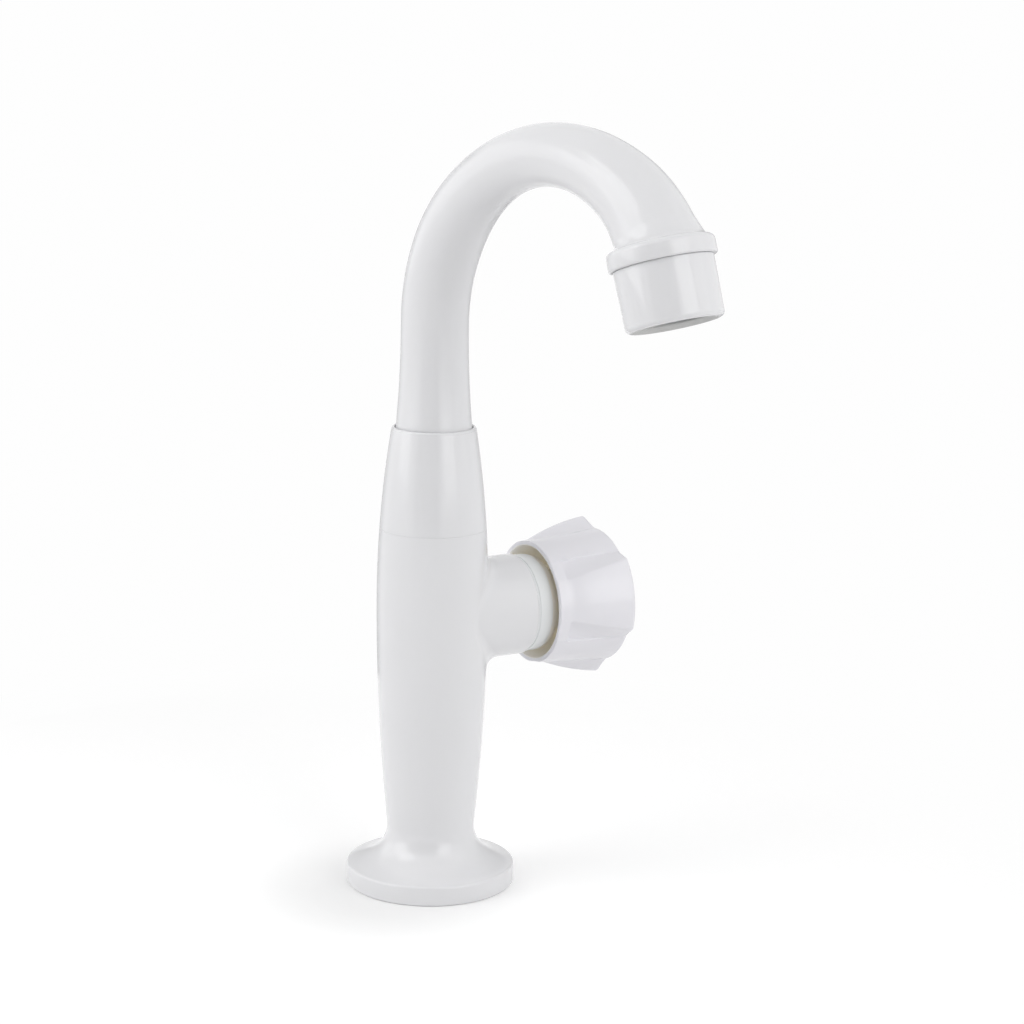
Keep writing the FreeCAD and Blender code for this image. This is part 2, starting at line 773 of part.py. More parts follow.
def make_spindle_rings():
    middle_r = spindle_groove_r + ring_gap / 2 + spindle_cord_r
    rings = [cord_ring(middle_r, spindle_cord_r, x) for x in (spindle_ring_inner_x, spindle_ring_outer_x)]
    return placed(Part.makeCompound(rings), across)


def make_slip_washer():
    end = clip_x - ring_gap
    return placed(ring(spindle_r + ring_gap, slip_washer_r, end - slip_washer_thickness, end), across)


def make_clip():
    clip = ring(clip_groove_r, spindle_r + clip_rim, clip_x, clip_x + clip_thickness)
    return placed(clip.cut(sector(clip_mouth, hub_r * 2, clip_x, clip_x + clip_thickness)), across)


# The valve: what slides towards the seat without turning.
washer_face_x = seat_x + free_gap
washer_back_x = washer_face_x + valve_washer_thickness
plate_back_x = washer_back_x + jumper_plate_thickness
bonnet_tip_x = plate_back_x + valve_travel + free_gap
jumper_screw_tip_x = washer_back_x + jumper_screw_depth
jumper_bore_floor_x = jumper_screw_tip_x + jumper_bore_wall
jumper_end_x = collar_start_x - valve_travel - jumper_end_gap
spindle_stub_tip_x = jumper_bore_floor_x + valve_travel + spindle_stub_gap


def make_jumper():
    plate = disc(jumper_plate_r, washer_back_x, plate_back_x)
    head = hexagon(broach_across - 2 * free_gap, plate_back_x, jumper_end_x)
    screw_hole = disc(jumper_screw_r + ring_gap, washer_back_x, jumper_screw_tip_x)
    bore = disc(spindle_stub_r + free_gap, jumper_bore_floor_x, jumper_end_x)
    return placed(one(plate.fuse(head).cut([screw_hole, bore])), across)


def make_valve_washer():
    hole_r = jumper_screw_r + ring_gap
    return placed(lathe([
        (hole_r, washer_face_x), (valve_washer_r, washer_face_x, 0.4),
        (valve_washer_r, washer_back_x), (hole_r, washer_back_x),
    ]), across)


def make_washer_screw():
    head_face = washer_face_x - jumper_head_height
    screw = lathe([
        (0, head_face), (jumper_head_r, head_face, 0.6), (jumper_head_r, washer_face_x),
        (jumper_screw_r, washer_face_x), (jumper_screw_r, jumper_screw_tip_x), (0, jumper_screw_tip_x),
    ])
    slot = Part.makeBox(
        2 * jumper_head_r, driver_slot_width, driver_slot_depth,
        Vector(-jumper_head_r, -driver_slot_width / 2, head_face))
    return placed(screw.cut(slot), across)


# The knob. A lobe's angle about the axis is measured from -Y towards +Z.
def knob_side_r(x):
    """The plain side of the knob, a little wider at its outer end than at its skirt."""
    return knob_skirt_r + (knob_end_r - knob_skirt_r) * (x - knob_skirt_x) / (knob_end_x - knob_skirt_x)


def lobe_top_r(x):
    """The lobe's back: a curve through its root, belly and rim, which stand above the side."""
    root_x = knob_skirt_x + knob_skirt_ring
    root_share = (x - lobe_belly_x) * (x - lobe_rim_x) / ((root_x - lobe_belly_x) * (root_x - lobe_rim_x))
    belly_share = (x - root_x) * (x - lobe_rim_x) / ((lobe_belly_x - root_x) * (lobe_belly_x - lobe_rim_x))
    rim_share = (x - root_x) * (x - lobe_belly_x) / ((lobe_rim_x - root_x) * (lobe_rim_x - lobe_belly_x))
    height = lobe_root_height * root_share + lobe_belly_height * belly_share + lobe_rim_height * rim_share
    return knob_side_r(x) + height


def lobe_section(x):
    """One lobe cut across the axis: the rounded back, a slanted facet each side, the root."""
    share = (x - knob_skirt_x - knob_skirt_ring) / (lobe_rim_x - knob_skirt_x - knob_skirt_ring)
    crest = lobe_crest_skirt + (lobe_crest_rim - lobe_crest_skirt) * share
    back_r = lobe_top_r(x)
    inside_r = knob_side_r(x) - lobe_sink
    facet_r = knob_side_r(x) + (back_r - knob_side_r(x)) * 0.5 * share

    def at(angle, radius):
        turn = math.radians(angle)
        return Vector(radius * math.cos(turn), radius * math.sin(turn), x)

    edges = [
        Part.Arc(at(-crest, back_r), at(0, back_r), at(crest, back_r)).toShape(),
        Part.makeLine(at(crest, back_r), at(lobe_half_width, facet_r)),
        Part.makeLine(at(lobe_half_width, facet_r), at(lobe_half_width, inside_r)),
        Part.Arc(at(lobe_half_width, inside_r), at(0, inside_r), at(-lobe_half_width, inside_r)).toShape(),
        Part.makeLine(at(-lobe_half_width, inside_r), at(-lobe_half_width, facet_r)),
        Part.makeLine(at(-lobe_half_width, facet_r), at(-crest, back_r)),
    ]
    return Part.Wire(edges)


def make_knob():
    side_wall = lathe([
        (0, knob_skirt_x), (knob_side_r(knob_skirt_x), knob_skirt_x, 0.4),
        (knob_side_r(knob_end_x), knob_end_x, knob_end_round), (0, knob_end_x),
    ])
    root_x = knob_skirt_x + knob_skirt_ring
    steps = 5
    sections = [lobe_section(root_x + (lobe_rim_x - root_x) * i / (steps - 1)) for i in range(steps)]
    lobe = Part.makeLoft(sections, True, True)
    lobes = []
    for i in range(lobe_count):
        copy = lobe.copy()
        copy.rotate(origin, up, -90 - lobe_middle_angle - 360 * i / lobe_count)
        lobes.append(copy)
    hollow = ring(hub_r, knob_inner_r, knob_skirt_x, knob_end_x - knob_web)
    core = disc(hub_r, knob_skirt_x, hub_start_x)
    cuts = [
        hollow, core,
        disc(spindle_r + ring_gap, hub_start_x, spindle_end_x),
        disc(screw_hole_r, spindle_end_x, knob_end_x),
        disc(screw_head_r + free_gap, head_seat_x, knob_end_x),
        disc(cap_r, cap_seat_x, knob_end_x),
    ]
    return placed(one(side_wall.fuse(lobes).cut(cuts)), across)


def make_knob_screw():
    tip = head_seat_x - screw_length
    screw = lathe([
        (0, tip), (screw_r, tip, 0.4), (screw_r, head_seat_x), (screw_head_r, head_seat_x),
        (screw_head_r, head_seat_x + screw_head_height, 0.3), (0, head_seat_x + screw_head_height),
    ])
    top = head_seat_x + screw_head_height
    return placed(screw.cut(hexagon(screw_drive_across, top - screw_drive_depth, top)), across)


def make_knob_cap():
    """A plain crowned disc that hides the screw."""
    rim_r = cap_r - ring_gap
    top_x = knob_end_x + cap_crown
    ball_r = (rim_r ** 2 + cap_crown ** 2) / (2 * cap_crown)
    ball = Part.makeSphere(ball_r, Vector(0, 0, top_x - ball_r))
    return placed(disc(rim_r, cap_seat_x, top_x).common(ball), across)


# Below and inside the foot
deck_washer_top = -deck_thickness
nut_top = deck_washer_top - deck_washer_thickness
neck_thread_r = shank_r - thread_depth
tail_top_z = thread_start_z - nut_thread_turns * thread_pitch


def sharp_ridges():
    """The back nut's stretch of the thread, as sharp ridges from the top down."""
    points = []
    for i in range(nut_thread_turns):
        top = thread_start_z - i * thread_pitch
        points.append((neck_thread_r, top))
        points.append((shank_r, top - thread_pitch / 2))
    points.append((neck_thread_r, tail_top_z))
    return points


def flat_ridges():
    """The tail's full-size thread, as ridges with flat crests from the top down."""
    points = []
    groove = thread_pitch * thread_groove_share
    for i in range(tail_thread_turns):
        bottom = tail_top_z - (i + 1) * thread_pitch
        points.append((shank_r, bottom + groove))
        points.append((neck_thread_r, bottom + groove / 2))
        points.append((shank_r, bottom))
    return points


def make_shank():
    ring_groove_r = shank_plug_r - 2 * ring_cord_r
    groove_half = ring_cord_r + ring_gap
    return lathe([
        (shank_bore_r, shank_bottom_z), (shank_bore_r, shank_top_z), (shank_plug_r, shank_top_z),
        (shank_plug_r, shank_ring_z + groove_half), (ring_groove_r, shank_ring_z + groove_half),
        (ring_groove_r, shank_ring_z - groove_half), (shank_plug_r, shank_ring_z - groove_half),
        (shank_plug_r, shank_collar_height), (shank_collar_r, shank_collar_height), (shank_collar_r, 0),
        (neck_thread_r, 0)]
        + sharp_ridges() + [(shank_r, tail_top_z)] + flat_ridges()
        + [(shank_r, shank_bottom_z, shank_end_round)])


def make_base_seal():
    """A flat rubber ring with two raised ribs that bear on the deck."""
    middle = (base_seal_inner_r + base_seal_outer_r) / 2
    flat = base_seal_rib
    return lathe([
        (base_seal_inner_r, 0), (middle - flat, 0), (middle - flat, flat), (middle + flat, flat),
        (middle + flat, 0), (base_seal_outer_r, 0), (base_seal_outer_r, base_seal_height),
        (base_seal_inner_r, base_seal_height),
    ])


def make_back_nut():
    flange = ring(nut_bore_r, nut_flange_r, nut_top - nut_flange_height, nut_top, 0.4)
    grip = hexagon(nut_across, nut_top - nut_height, nut_top - nut_flange_height)
    bore = disc(nut_bore_r, nut_top - nut_height, nut_top)
    return one(flange.fuse(grip).cut(bore))


makers = {
    "column_body": make_body,
    "upper_sleeve": make_sleeve,
    "base_seal_ring": make_base_seal,
    "threaded_shank": make_shank,
    "shank_o_ring": lambda: cord_ring(shank_plug_r - ring_cord_r, ring_cord_r, shank_ring_z),
    "deck_washer": lambda: ring(nut_bore_r, deck_washer_r, nut_top, deck_washer_top, 0.3),
    "back_nut": make_back_nut,
    "spout": make_spout,
    "spout_o_rings": make_spout_rings,
    "spout_retaining_clip": make_retainer,
    "spout_slip_ring": make_slip_ring,
    "aerator_shell": make_aerator_shell,
    "aerator_gasket": make_aerator_gasket,
    "aerator_housing": make_aerator_housing,
    "aerator_flow_disc": make_flow_disc,
    "aerator_screens": make_screens,
    "bonnet": make_bonnet,
    "bonnet_gasket": make_bonnet_gasket,
    "spindle": make_spindle,
    "spindle_o_rings": make_spindle_rings,
    "spindle_slip_washer": make_slip_washer,
    "spindle_clip": make_clip,
    "valve_jumper": make_jumper,
    "valve_washer": make_valve_washer,
    "washer_screw": make_washer_screw,
    "knob": make_knob,
    "knob_screw": make_knob_screw,
    "knob_cap": make_knob_cap,
}

os.makedirs("parts", exist_ok=True)
for name, maker in makers.items():
    save(name, maker())
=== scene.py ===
import math

import bmesh
import bpy
import numpy as np
from mathutils import Matrix


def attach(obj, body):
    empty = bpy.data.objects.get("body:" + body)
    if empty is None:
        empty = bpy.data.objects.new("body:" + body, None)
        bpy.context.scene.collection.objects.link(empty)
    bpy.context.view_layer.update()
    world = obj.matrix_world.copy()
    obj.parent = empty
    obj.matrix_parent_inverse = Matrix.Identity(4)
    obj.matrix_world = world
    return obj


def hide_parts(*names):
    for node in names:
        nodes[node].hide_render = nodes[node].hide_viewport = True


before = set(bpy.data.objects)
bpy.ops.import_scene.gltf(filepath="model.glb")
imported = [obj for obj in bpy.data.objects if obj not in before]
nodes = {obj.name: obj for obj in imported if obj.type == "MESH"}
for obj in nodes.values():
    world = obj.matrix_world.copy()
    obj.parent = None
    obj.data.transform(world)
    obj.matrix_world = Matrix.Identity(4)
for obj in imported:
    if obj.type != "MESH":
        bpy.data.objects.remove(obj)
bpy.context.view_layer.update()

# A white plastic pillar tap: barrel body on a round foot, swivelling gooseneck, three-lobed knob.
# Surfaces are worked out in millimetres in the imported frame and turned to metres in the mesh.
scene = bpy.context.scene
print("frame loaded:", len(nodes), "nodes")


# A profile is a run of (a, b) corners; a corner with a third number is rounded by an arc of that radius, which starts
# radius / tan(half angle) before the corner and turns about the point radius / sin(half angle) inside it. Between its
# two ends a point at share t is (sin((1 - t) turn) start + sin(t turn) end) / sin(turn).
def roundedProfile(corners, steps=6):
    points = np.array([corner[:2] for corner in corners], float)
    parts = []
    for i, corner in enumerate(corners):
        here = points[i]
        if len(corner) == 2:
            parts.append(here[None])
            continue
        back = points[i - 1] - here
        ahead = points[(i + 1) % len(points)] - here
        back /= np.linalg.norm(back)
        ahead /= np.linalg.norm(ahead)
        half = math.acos(float(back @ ahead)) / 2
        inward = (back + ahead) / np.linalg.norm(back + ahead)
        centre = here + inward * corner[2] / math.sin(half)
        start = here + back * corner[2] / math.tan(half) - centre
        end = here + ahead * corner[2] / math.tan(half) - centre
        turn = math.pi - 2 * half
        t = np.linspace(0, 1, steps + 1)[:, None]
        parts.append(centre + (np.sin((1 - t) * turn) * start + np.sin(t * turn) * end) / math.sin(turn))
    return np.concatenate(parts)


# Quads between the neighbours of a grid of points, numbered row * columns + column, closed round in either direction.
def gridFaces(rows, columns, closeRows=True, closeColumns=True):
    table = np.arange(rows * columns).reshape(rows, columns)
    if closeRows:
        table = np.vstack([table, table[:1]])
    if closeColumns:
        table = np.hstack([table, table[:, :1]])
    return np.stack([table[:-1, :-1], table[:-1, 1:], table[1:, 1:], table[1:, :-1]], -1).reshape(-1, 4)


# Points in mm and faces become an object at the origin. Points that meet are merged, which closes seams and poles, the
# faces are turned outwards, and edges sharper than the angle stay crisp.
def makePiece(name, points, faces, body, node, sharpAngle=32):
    mesh = bpy.data.meshes.new(name)
    mesh.from_pydata((np.asarray(points).reshape(-1, 3) * 0.001).tolist(), [], faces.tolist())
    work = bmesh.new()
    work.from_mesh(mesh)
    bmesh.ops.remove_doubles(work, verts=work.verts, dist=2e-6)
    bmesh.ops.recalc_face_normals(work, faces=work.faces)
    openEdges = sum(not edge.is_manifold for edge in work.edges)
    work.to_mesh(mesh)
    work.free()
    mesh.shade_smooth()
    mesh.set_sharp_from_angle(angle=math.radians(sharpAngle))
    piece = bpy.data.objects.new(name, mesh)
    scene.collection.objects.link(piece)
    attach(piece, body)
    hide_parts(node)
    print(name, len(mesh.polygons), "faces", openEdges, "open edges")
    return piece


# points about Z: x = radius cos angle, y = radius sin angle
def aboutZ(radius, angle, height):
    return np.stack([radius * np.cos(angle), radius * np.sin(angle), height + 0 * angle], -1)


# the angles of a ring's columns, from 0 up to a full turn
def ringAngles(columns):
    return np.linspace(0, 2 * math.pi, columns, endpoint=False)


# a profile of (radius, height) turned about Z, one row of points for each corner
def turnedGrid(profile, columns):
    return aboutZ(profile[:, :1], ringAngles(columns), profile[:, 1:2])


# A piece whose closed profile is turned about Z, and then carried by place(points) to an axis of its own.
def turnedPiece(name, profile, columns, body, node, place=None):
    points = turnedGrid(profile, columns).reshape(-1, 3)
    return makePiece(name, place(points) if place else points, gridFaces(len(profile), columns), body, node)


# The body in mm: the barrel, its foot, the waterway and the sleeve's spigot inside it, and the valve's boss. Heights
# are above the deck, and the boss's own lengths are measured along its axis from the barrel's.
barrel = {
    "widestRadius": 16.45, "widestHeight": 86.0, "lowArc": 686.0, "highArc": 330.0,
    "seamHeight": 108.0, "seamChamfer": 0.1, "columns": 144, "lowRows": 16,
}
foot = {
    "radius": 25.0, "edgeRound": 0.8, "edgeFlat": 3.0, "bottomRound": 0.4, "edgeRows": 6,
    "flareArc": 16.0, "neckArc": 10.0, "neckHeight": 17.0, "neckTurn": 50.0, "flareRows": 22,
    "sealOuter": 21.5, "sealInner": 15.8, "sealDepth": 2.2, "collarRadius": 12.3, "collarDepth": 3.0,
}
waterway = {"socketRadius": 9.6, "socketTop": 19.3, "radius": 6.5, "top": 88.3}
spigot = {
    "radius": 13.0, "threadLow": 108.6, "top": 122.0, "topRound": 0.5, "neckRadius": 12.6, "neckTop": 108.3,
    "bore": 10.0, "lipRound": 0.3, "floor": 102.0, "floorRound": 0.5,
}
boss = {
    "axisHeight": 81.8, "radius": 15.06, "end": 28.0, "endRound": 0.6, "fillet": 4.5,
    "bore": 10.2, "mouthRound": 0.3, "boreEnd": 8.7, "boreEndRound": 0.4,
    "seatOuter": 6.9, "seatTop": 9.5, "seatInner": 5.5, "seatFloor": 7.2,
    "patchAngle": 77.5, "patchReach": 23.0, "patchRows": 31, "barrelRows": 11, "filletRows": 12, "sideRows": 7,
}


# The barrel is two shallow arcs about its widest point: radius = widest - arc + sqrt(arc^2 - rise^2).
# A grown barrel, for a ball that rolls on it, has both arcs longer by the ball's radius.
def barrelRadius(height, grow=0.0):
    arc = np.where(height < barrel["widestHeight"], barrel["lowArc"], barrel["highArc"])
    rise = height - barrel["widestHeight"]
    return barrel["widestRadius"] - arc + np.sqrt((arc + grow) ** 2 - rise ** 2)


# The neck's arc touches the barrel's lower arc from outside, and the foot's arc touches the neck's after its turn. A
# quarter circle rounds the foot's edge. Each arc is centre -/+ radius (cos angle, sin angle).
def flareProfile():
    reach = barrel["lowArc"] + foot["neckArc"]
    drop = barrel["widestHeight"] - foot["neckHeight"]
    neckAway = barrel["widestRadius"] - barrel["lowArc"] + math.sqrt(reach ** 2 - drop ** 2)
    neckCentre = np.array([neckAway, foot["neckHeight"]])
    turn = math.radians(foot["neckTurn"])
    neckAngle = np.linspace(-math.asin(drop / reach), turn, foot["flareRows"])[:, None]
    neck = neckCentre - foot["neckArc"] * np.hstack([np.cos(neckAngle), np.sin(neckAngle)])
    flareCentre = neck[-1] + foot["flareArc"] * np.array([math.cos(turn), math.sin(turn)])
    shoulder = foot["radius"] - foot["edgeRound"]
    lastAngle = math.acos((flareCentre[0] - shoulder) / foot["flareArc"])
    flareAngle = np.linspace(turn, lastAngle, foot["flareRows"])[1:, None]
    flare = flareCentre - foot["flareArc"] * np.hstack([np.cos(flareAngle), np.sin(flareAngle)])
    edge = np.linspace(0, math.pi / 2, foot["edgeRows"])[1:, None]
    edgeCentre = np.array([shoulder, flare[-1, 1] - foot["edgeRound"]])
    rim = edgeCentre + foot["edgeRound"] * np.hstack([np.sin(edge), np.cos(edge)])
    return neck, np.vstack([flare, rim])


# points round the boss's axis, turned from straight up towards +Y: y = radius sin turn, z = axis + radius cos turn
def roundBoss(x, radius, turn):
    return np.stack([x + 0 * turn, radius * np.sin(turn), boss["axisHeight"] + radius * np.cos(turn)], -1)


# The boss as rows of points: from a rim in the barrel's wall, given as (angle, height) once round the hole, over the
# barrel, round the fillet, along the boss, and round its end down the bore to the valve's seat. The fillet is what a
# ball of its radius rolls out between the two: the ball's middle is boss radius + ball radius from the boss's axis and
# lies on the grown barrel, and each row of the fillet is a share of the arc between the ball's two touch points.
def bossPatch(rimAngle, rimHeight):
    # a rim point's turn round the boss's axis is read from the barrel's wall, rolled flat
    turn = np.arctan2(rimAngle * barrel["widestRadius"], rimHeight - boss["axisHeight"])
    ball = boss["fillet"]
    middleY = (boss["radius"] + ball) * np.sin(turn)
    middleZ = boss["axisHeight"] + (boss["radius"] + ball) * np.cos(turn)
    grown = barrelRadius(middleZ, ball)
    middleX = np.sqrt(grown ** 2 - middleY ** 2)
    middle = np.stack([middleX, middleY, middleZ], -1)
    toBoss = np.stack([0 * turn, -np.sin(turn), -np.cos(turn)], -1)
    arc = np.where(middleZ < barrel["widestHeight"], barrel["lowArc"], barrel["highArc"])
    lean = (middleZ - barrel["widestHeight"]) / (arc + ball)
    level = np.sqrt(1 - lean ** 2)
    toBarrel = -np.stack([level * middleX / grown, level * middleY / grown, lean], -1)
    bend = np.arccos((toBoss * toBarrel).sum(-1))[:, None]
    touch = middle + ball * toBarrel
    touchAngle, touchHeight = np.arctan2(touch[:, 1], touch[:, 0]), touch[:, 2]

    rows = []
    for share in np.linspace(0, 1, boss["barrelRows"] + 1)[:-1]:  # over the barrel, from the rim to the touch line
        angle = rimAngle + (touchAngle - rimAngle) * share
        height = rimHeight + (touchHeight - rimHeight) * share
        rows.append(aboutZ(barrelRadius(height), angle, height))
    for share in np.linspace(0, 1, boss["filletRows"] + 1):  # round the fillet
        arcPoint = np.sin((1 - share) * bend) * toBarrel + np.sin(share * bend) * toBoss
        rows.append(middle + ball * arcPoint / np.sin(bend))
    endStart = boss["end"] - boss["endRound"]
    for share in np.linspace(0, 1, boss["sideRows"] + 1)[1:-1]:  # along the boss
        rows.append(roundBoss(middleX + (endStart - middleX) * share, boss["radius"], turn))
    inner = roundedProfile([
        (boss["radius"], boss["boreEnd"]), (boss["radius"], boss["end"], boss["endRound"]),
        (boss["bore"], boss["end"], boss["mouthRound"]), (boss["bore"], boss["boreEnd"], boss["boreEndRound"]),
        (boss["seatOuter"], boss["boreEnd"]), (boss["seatOuter"], boss["seatTop"]),
        (boss["seatInner"], boss["seatTop"]), (boss["seatInner"], boss["seatFloor"]), (0, boss["seatFloor"])])[1:]
    for radius, x in inner:  # round the boss's end and down its bore to the seat
        rows.append(roundBoss(x, radius, turn))
    return np.stack(rows)


# One profile of (radius, height) is turned about Z: the spigot inside the sleeve, the barrel's side, neck and flare,
# and from below the seal's groove, the shank's socket and the waterway. The boss's patch is let into the side.
def makeBody():
    columns = barrel["columns"]
    lowPatch, highPatch = boss["axisHeight"] - boss["patchReach"], boss["axisHeight"] + boss["patchReach"]
    neck, flare = flareProfile()
    seamEdge = barrel["seamHeight"] - barrel["seamChamfer"]
    heights = np.concatenate([
        [seamEdge], np.linspace(highPatch, lowPatch, boss["patchRows"] + 1),
        np.linspace(lowPatch, neck[0, 1], barrel["lowRows"])[1:-1]])
    side = np.stack([barrelRadius(heights), heights], -1)
    top = roundedProfile([
        (0, spigot["floor"]), (spigot["bore"], spigot["floor"], spigot["floorRound"]),
        (spigot["bore"], spigot["top"], spigot["lipRound"]), (spigot["radius"], spigot["top"], spigot["topRound"]),
        (spigot["radius"], spigot["threadLow"]), (spigot["neckRadius"], spigot["neckTop"]),
        (spigot["neckRadius"], barrel["seamHeight"]), (side[0, 0] - barrel["seamChamfer"], barrel["seamHeight"])])
    low = roundedProfile([
        (foot["radius"], foot["edgeFlat"]), (foot["radius"], 0, foot["bottomRound"]),
        (foot["sealOuter"], 0), (foot["sealOuter"], foot["sealDepth"]),
        (foot["sealInner"], foot["sealDepth"]), (foot["sealInner"], 0),
        (foot["collarRadius"], 0), (foot["collarRadius"], foot["collarDepth"]),
        (waterway["socketRadius"], foot["collarDepth"]), (waterway["socketRadius"], waterway["socketTop"]),
        (waterway["radius"], waterway["socketTop"]), (waterway["radius"], waterway["top"]), (0, waterway["top"])])
    profile = np.vstack([top, side, neck, flare, low])
    faces = gridFaces(len(profile), columns, closeRows=False)

    # the quads of the barrel in front of the boss make way for the patch
    first = len(top) + 1
    last = first + boss["patchRows"]
    reach = int(round(boss["patchAngle"] / 360 * columns))
    row, column = np.divmod(np.arange(len(faces)), columns)
    inside = (row >= first) & (row < last) & ((column < reach) | (column >= columns - reach))
    faces = faces[~inside]

    # the patch's rim, once round the hole: (angle, height) of the barrel's own points
    across = np.arange(-reach, reach + 1) * 2 * math.pi / columns
    down = profile[first:last + 1, 1]
    rimAngle = np.concatenate([
        across[reach:-1], np.full(len(down) - 1, across[-1]), across[:0:-1],
        np.full(len(down) - 1, across[0]), across[:reach]])
    rimHeight = np.concatenate([
        np.full(reach, down[0]), down[:-1], np.full(2 * reach, down[-1]), down[:0:-1], np.full(reach, down[0])])
    patch = bossPatch(rimAngle, rimHeight)
    points = np.vstack([turnedGrid(profile, columns).reshape(-1, 3), patch.reshape(-1, 3)])
    patchFaces = gridFaces(*patch.shape[:2], closeRows=False) + len(profile) * columns
    return makePiece("bodyShell", points, np.vstack([faces, patchFaces]), "body", "column_body")


# the long nut that makes the upper barrel
sleeve = {
    "top": 138.0, "rimRound": 0.7, "mouth": 11.45, "mouthRound": 0.25, "mouthFloor": 131.0, "throat": 10.0,
    "throatEnd": 127.3, "clipRadius": 12.3, "clipEnd": 122.5, "threadRadius": 13.1, "columns": 160, "rows": 24,
}


# The side is the barrel's own arc above the seam. From its rim the profile goes down the mouth, through the throat
# under which the spout's clip sits, and down the threaded bore to the seam.
def makeSleeve():
    low, high = barrel["seamHeight"], sleeve["top"]
    heights = np.linspace(low + barrel["seamChamfer"], high - sleeve["rimRound"], sleeve["rows"])
    side = np.stack([barrelRadius(heights), heights], -1)
    rimRadius = float(barrelRadius(np.array(high)))
    inner = roundedProfile([
        (rimRadius, low), (rimRadius, high, sleeve["rimRound"]), (sleeve["mouth"], high, sleeve["mouthRound"]),
        (sleeve["mouth"], sleeve["mouthFloor"]), (sleeve["throat"], sleeve["mouthFloor"]),
        (sleeve["throat"], sleeve["throatEnd"]), (sleeve["clipRadius"], sleeve["throatEnd"]),
        (sleeve["clipRadius"], sleeve["clipEnd"]), (sleeve["threadRadius"], sleeve["clipEnd"]),
        (sleeve["threadRadius"], low), (side[0, 0] - barrel["seamChamfer"], low)])[1:]
    return turnedPiece("sleeveShell", np.vstack([side, inner]), sleeve["columns"], "body", "upper_sleeve")


# The gooseneck, by the run along its middle line from where it leaves the sleeve, with its two ends: the plug inside
# the sleeve, by heights above the deck, and the nipple that the aerator screws onto.
spout = {
    "azimuth": -78.8, "foot": 138.0, "leg": 30.1, "archRadius": 51.3, "archTurn": 120.3, "dropRadius": 33.3,
    "dropTurn": 41.5, "straightRun": 4.6, "blendRun": 4.6,
    "footRadius": 11.15, "legRadius": 9.85, "throatRadius": 8.55, "collarRadius": 12.1, "bore": 6.4,
    "footTaper": 28.0, "throatStart": 50.0, "throatEnd": 97.0, "flarePower": 1.8,
    "beadRadius": 14.53, "beadHeight": 5.2, "beadTopRound": 1.5, "beadBottomRound": 0.55, "rootRun": 3.6,
    "rootPower": 0.9, "columns": 128, "tubeRows": 120, "rootRows": 12, "boreRows": 70,
}
plug = {
    "tail": 103.5, "radius": 9.93, "tailRound": 0.5, "shoulder": 131.3, "shoulderRound": 0.2, "top": 137.0,
    # from, to, radius of the floor: two grooves for O-rings and one for the clip
    "grooves": [(106.45, 108.55, 8.1), (112.45, 114.55, 8.1), (123.6, 125.0, 8.83)],
}
nipple = {
    "radius": 11.0, "rootRound": 0.15, "reach": 7.5, "tipRound": 0.4, "bore": 8.2, "boreRound": 0.3, "boreDepth": 3.0,
}
archLength = spout["archRadius"] * math.radians(spout["archTurn"])
spoutLength = spout["leg"] + archLength + spout["dropRadius"] * math.radians(spout["dropTurn"])
outletTurn = math.radians(spout["archTurn"] + spout["dropTurn"])


# from 0 to 1 by 3 t^2 - 2 t^3
def smoothStep(t):
    t = np.clip(t, 0, 1)
    return t * t * (3 - 2 * t)


# The middle line goes straight up, round the arch and into the tighter drop, each arc by its own radius:
# reach = R (1 - cos turn), height = R sin turn.
def spoutLine(run):
    archTurn = np.clip((run - spout["leg"]) / spout["archRadius"], 0, math.radians(spout["archTurn"]))
    dropRun = run - spout["leg"] - archLength
    dropTurn = np.clip(dropRun / spout["dropRadius"], 0, math.radians(spout["dropTurn"]))
    heading = archTurn + dropTurn
    reach = (spout["archRadius"] * (1 - np.cos(archTurn))
             + spout["dropRadius"] * (np.cos(archTurn) - np.cos(heading)))
    height = (spout["foot"] + np.minimum(run, spout["leg"]) + spout["archRadius"] * np.sin(archTurn)
              + spout["dropRadius"] * (np.sin(heading) - np.sin(archTurn)))
    return reach, height, heading


endReach, endHeight = (float(value) for value in spoutLine(np.array(spoutLength))[:2])


# from the spout's own plane to the frame: outward along its azimuth, sideways across it
def swungOut(outward, sideways, upward):
    azimuth = math.radians(spout["azimuth"])
    return np.stack([
        outward * math.cos(azimuth) - sideways * math.sin(azimuth),
        outward * math.sin(azimuth) + sideways * math.cos(azimuth), upward], -1)


# Rings of the profile's radius square to the middle line: point = middle + radius (cos a * normal + sin a * sideways).
# Past the end, and over the last few millimetres before it, the line goes over to the straight one through the outlet.
def sweptGrid(runs, radii, columns):
    reach, height, heading = spoutLine(runs)
    straightStart = spoutLength - spout["straightRun"]
    weight = smoothStep((runs - straightStart + spout["blendRun"]) / spout["blendRun"])
    reach = reach + weight * (endReach + (runs - spoutLength) * math.sin(outletTurn) - reach)
    height = height + weight * (endHeight + (runs - spoutLength) * math.cos(outletTurn) - height)
    heading = heading + weight * (outletTurn - heading)
    angle = ringAngles(columns)
    ahead = radii[:, None] * np.cos(angle)
    outward = reach[:, None] + ahead * np.cos(heading)[:, None]
    upward = height[:, None] - ahead * np.sin(heading)[:, None]
    sideways = radii[:, None] * np.sin(angle)
    return swungOut(outward, sideways, upward)


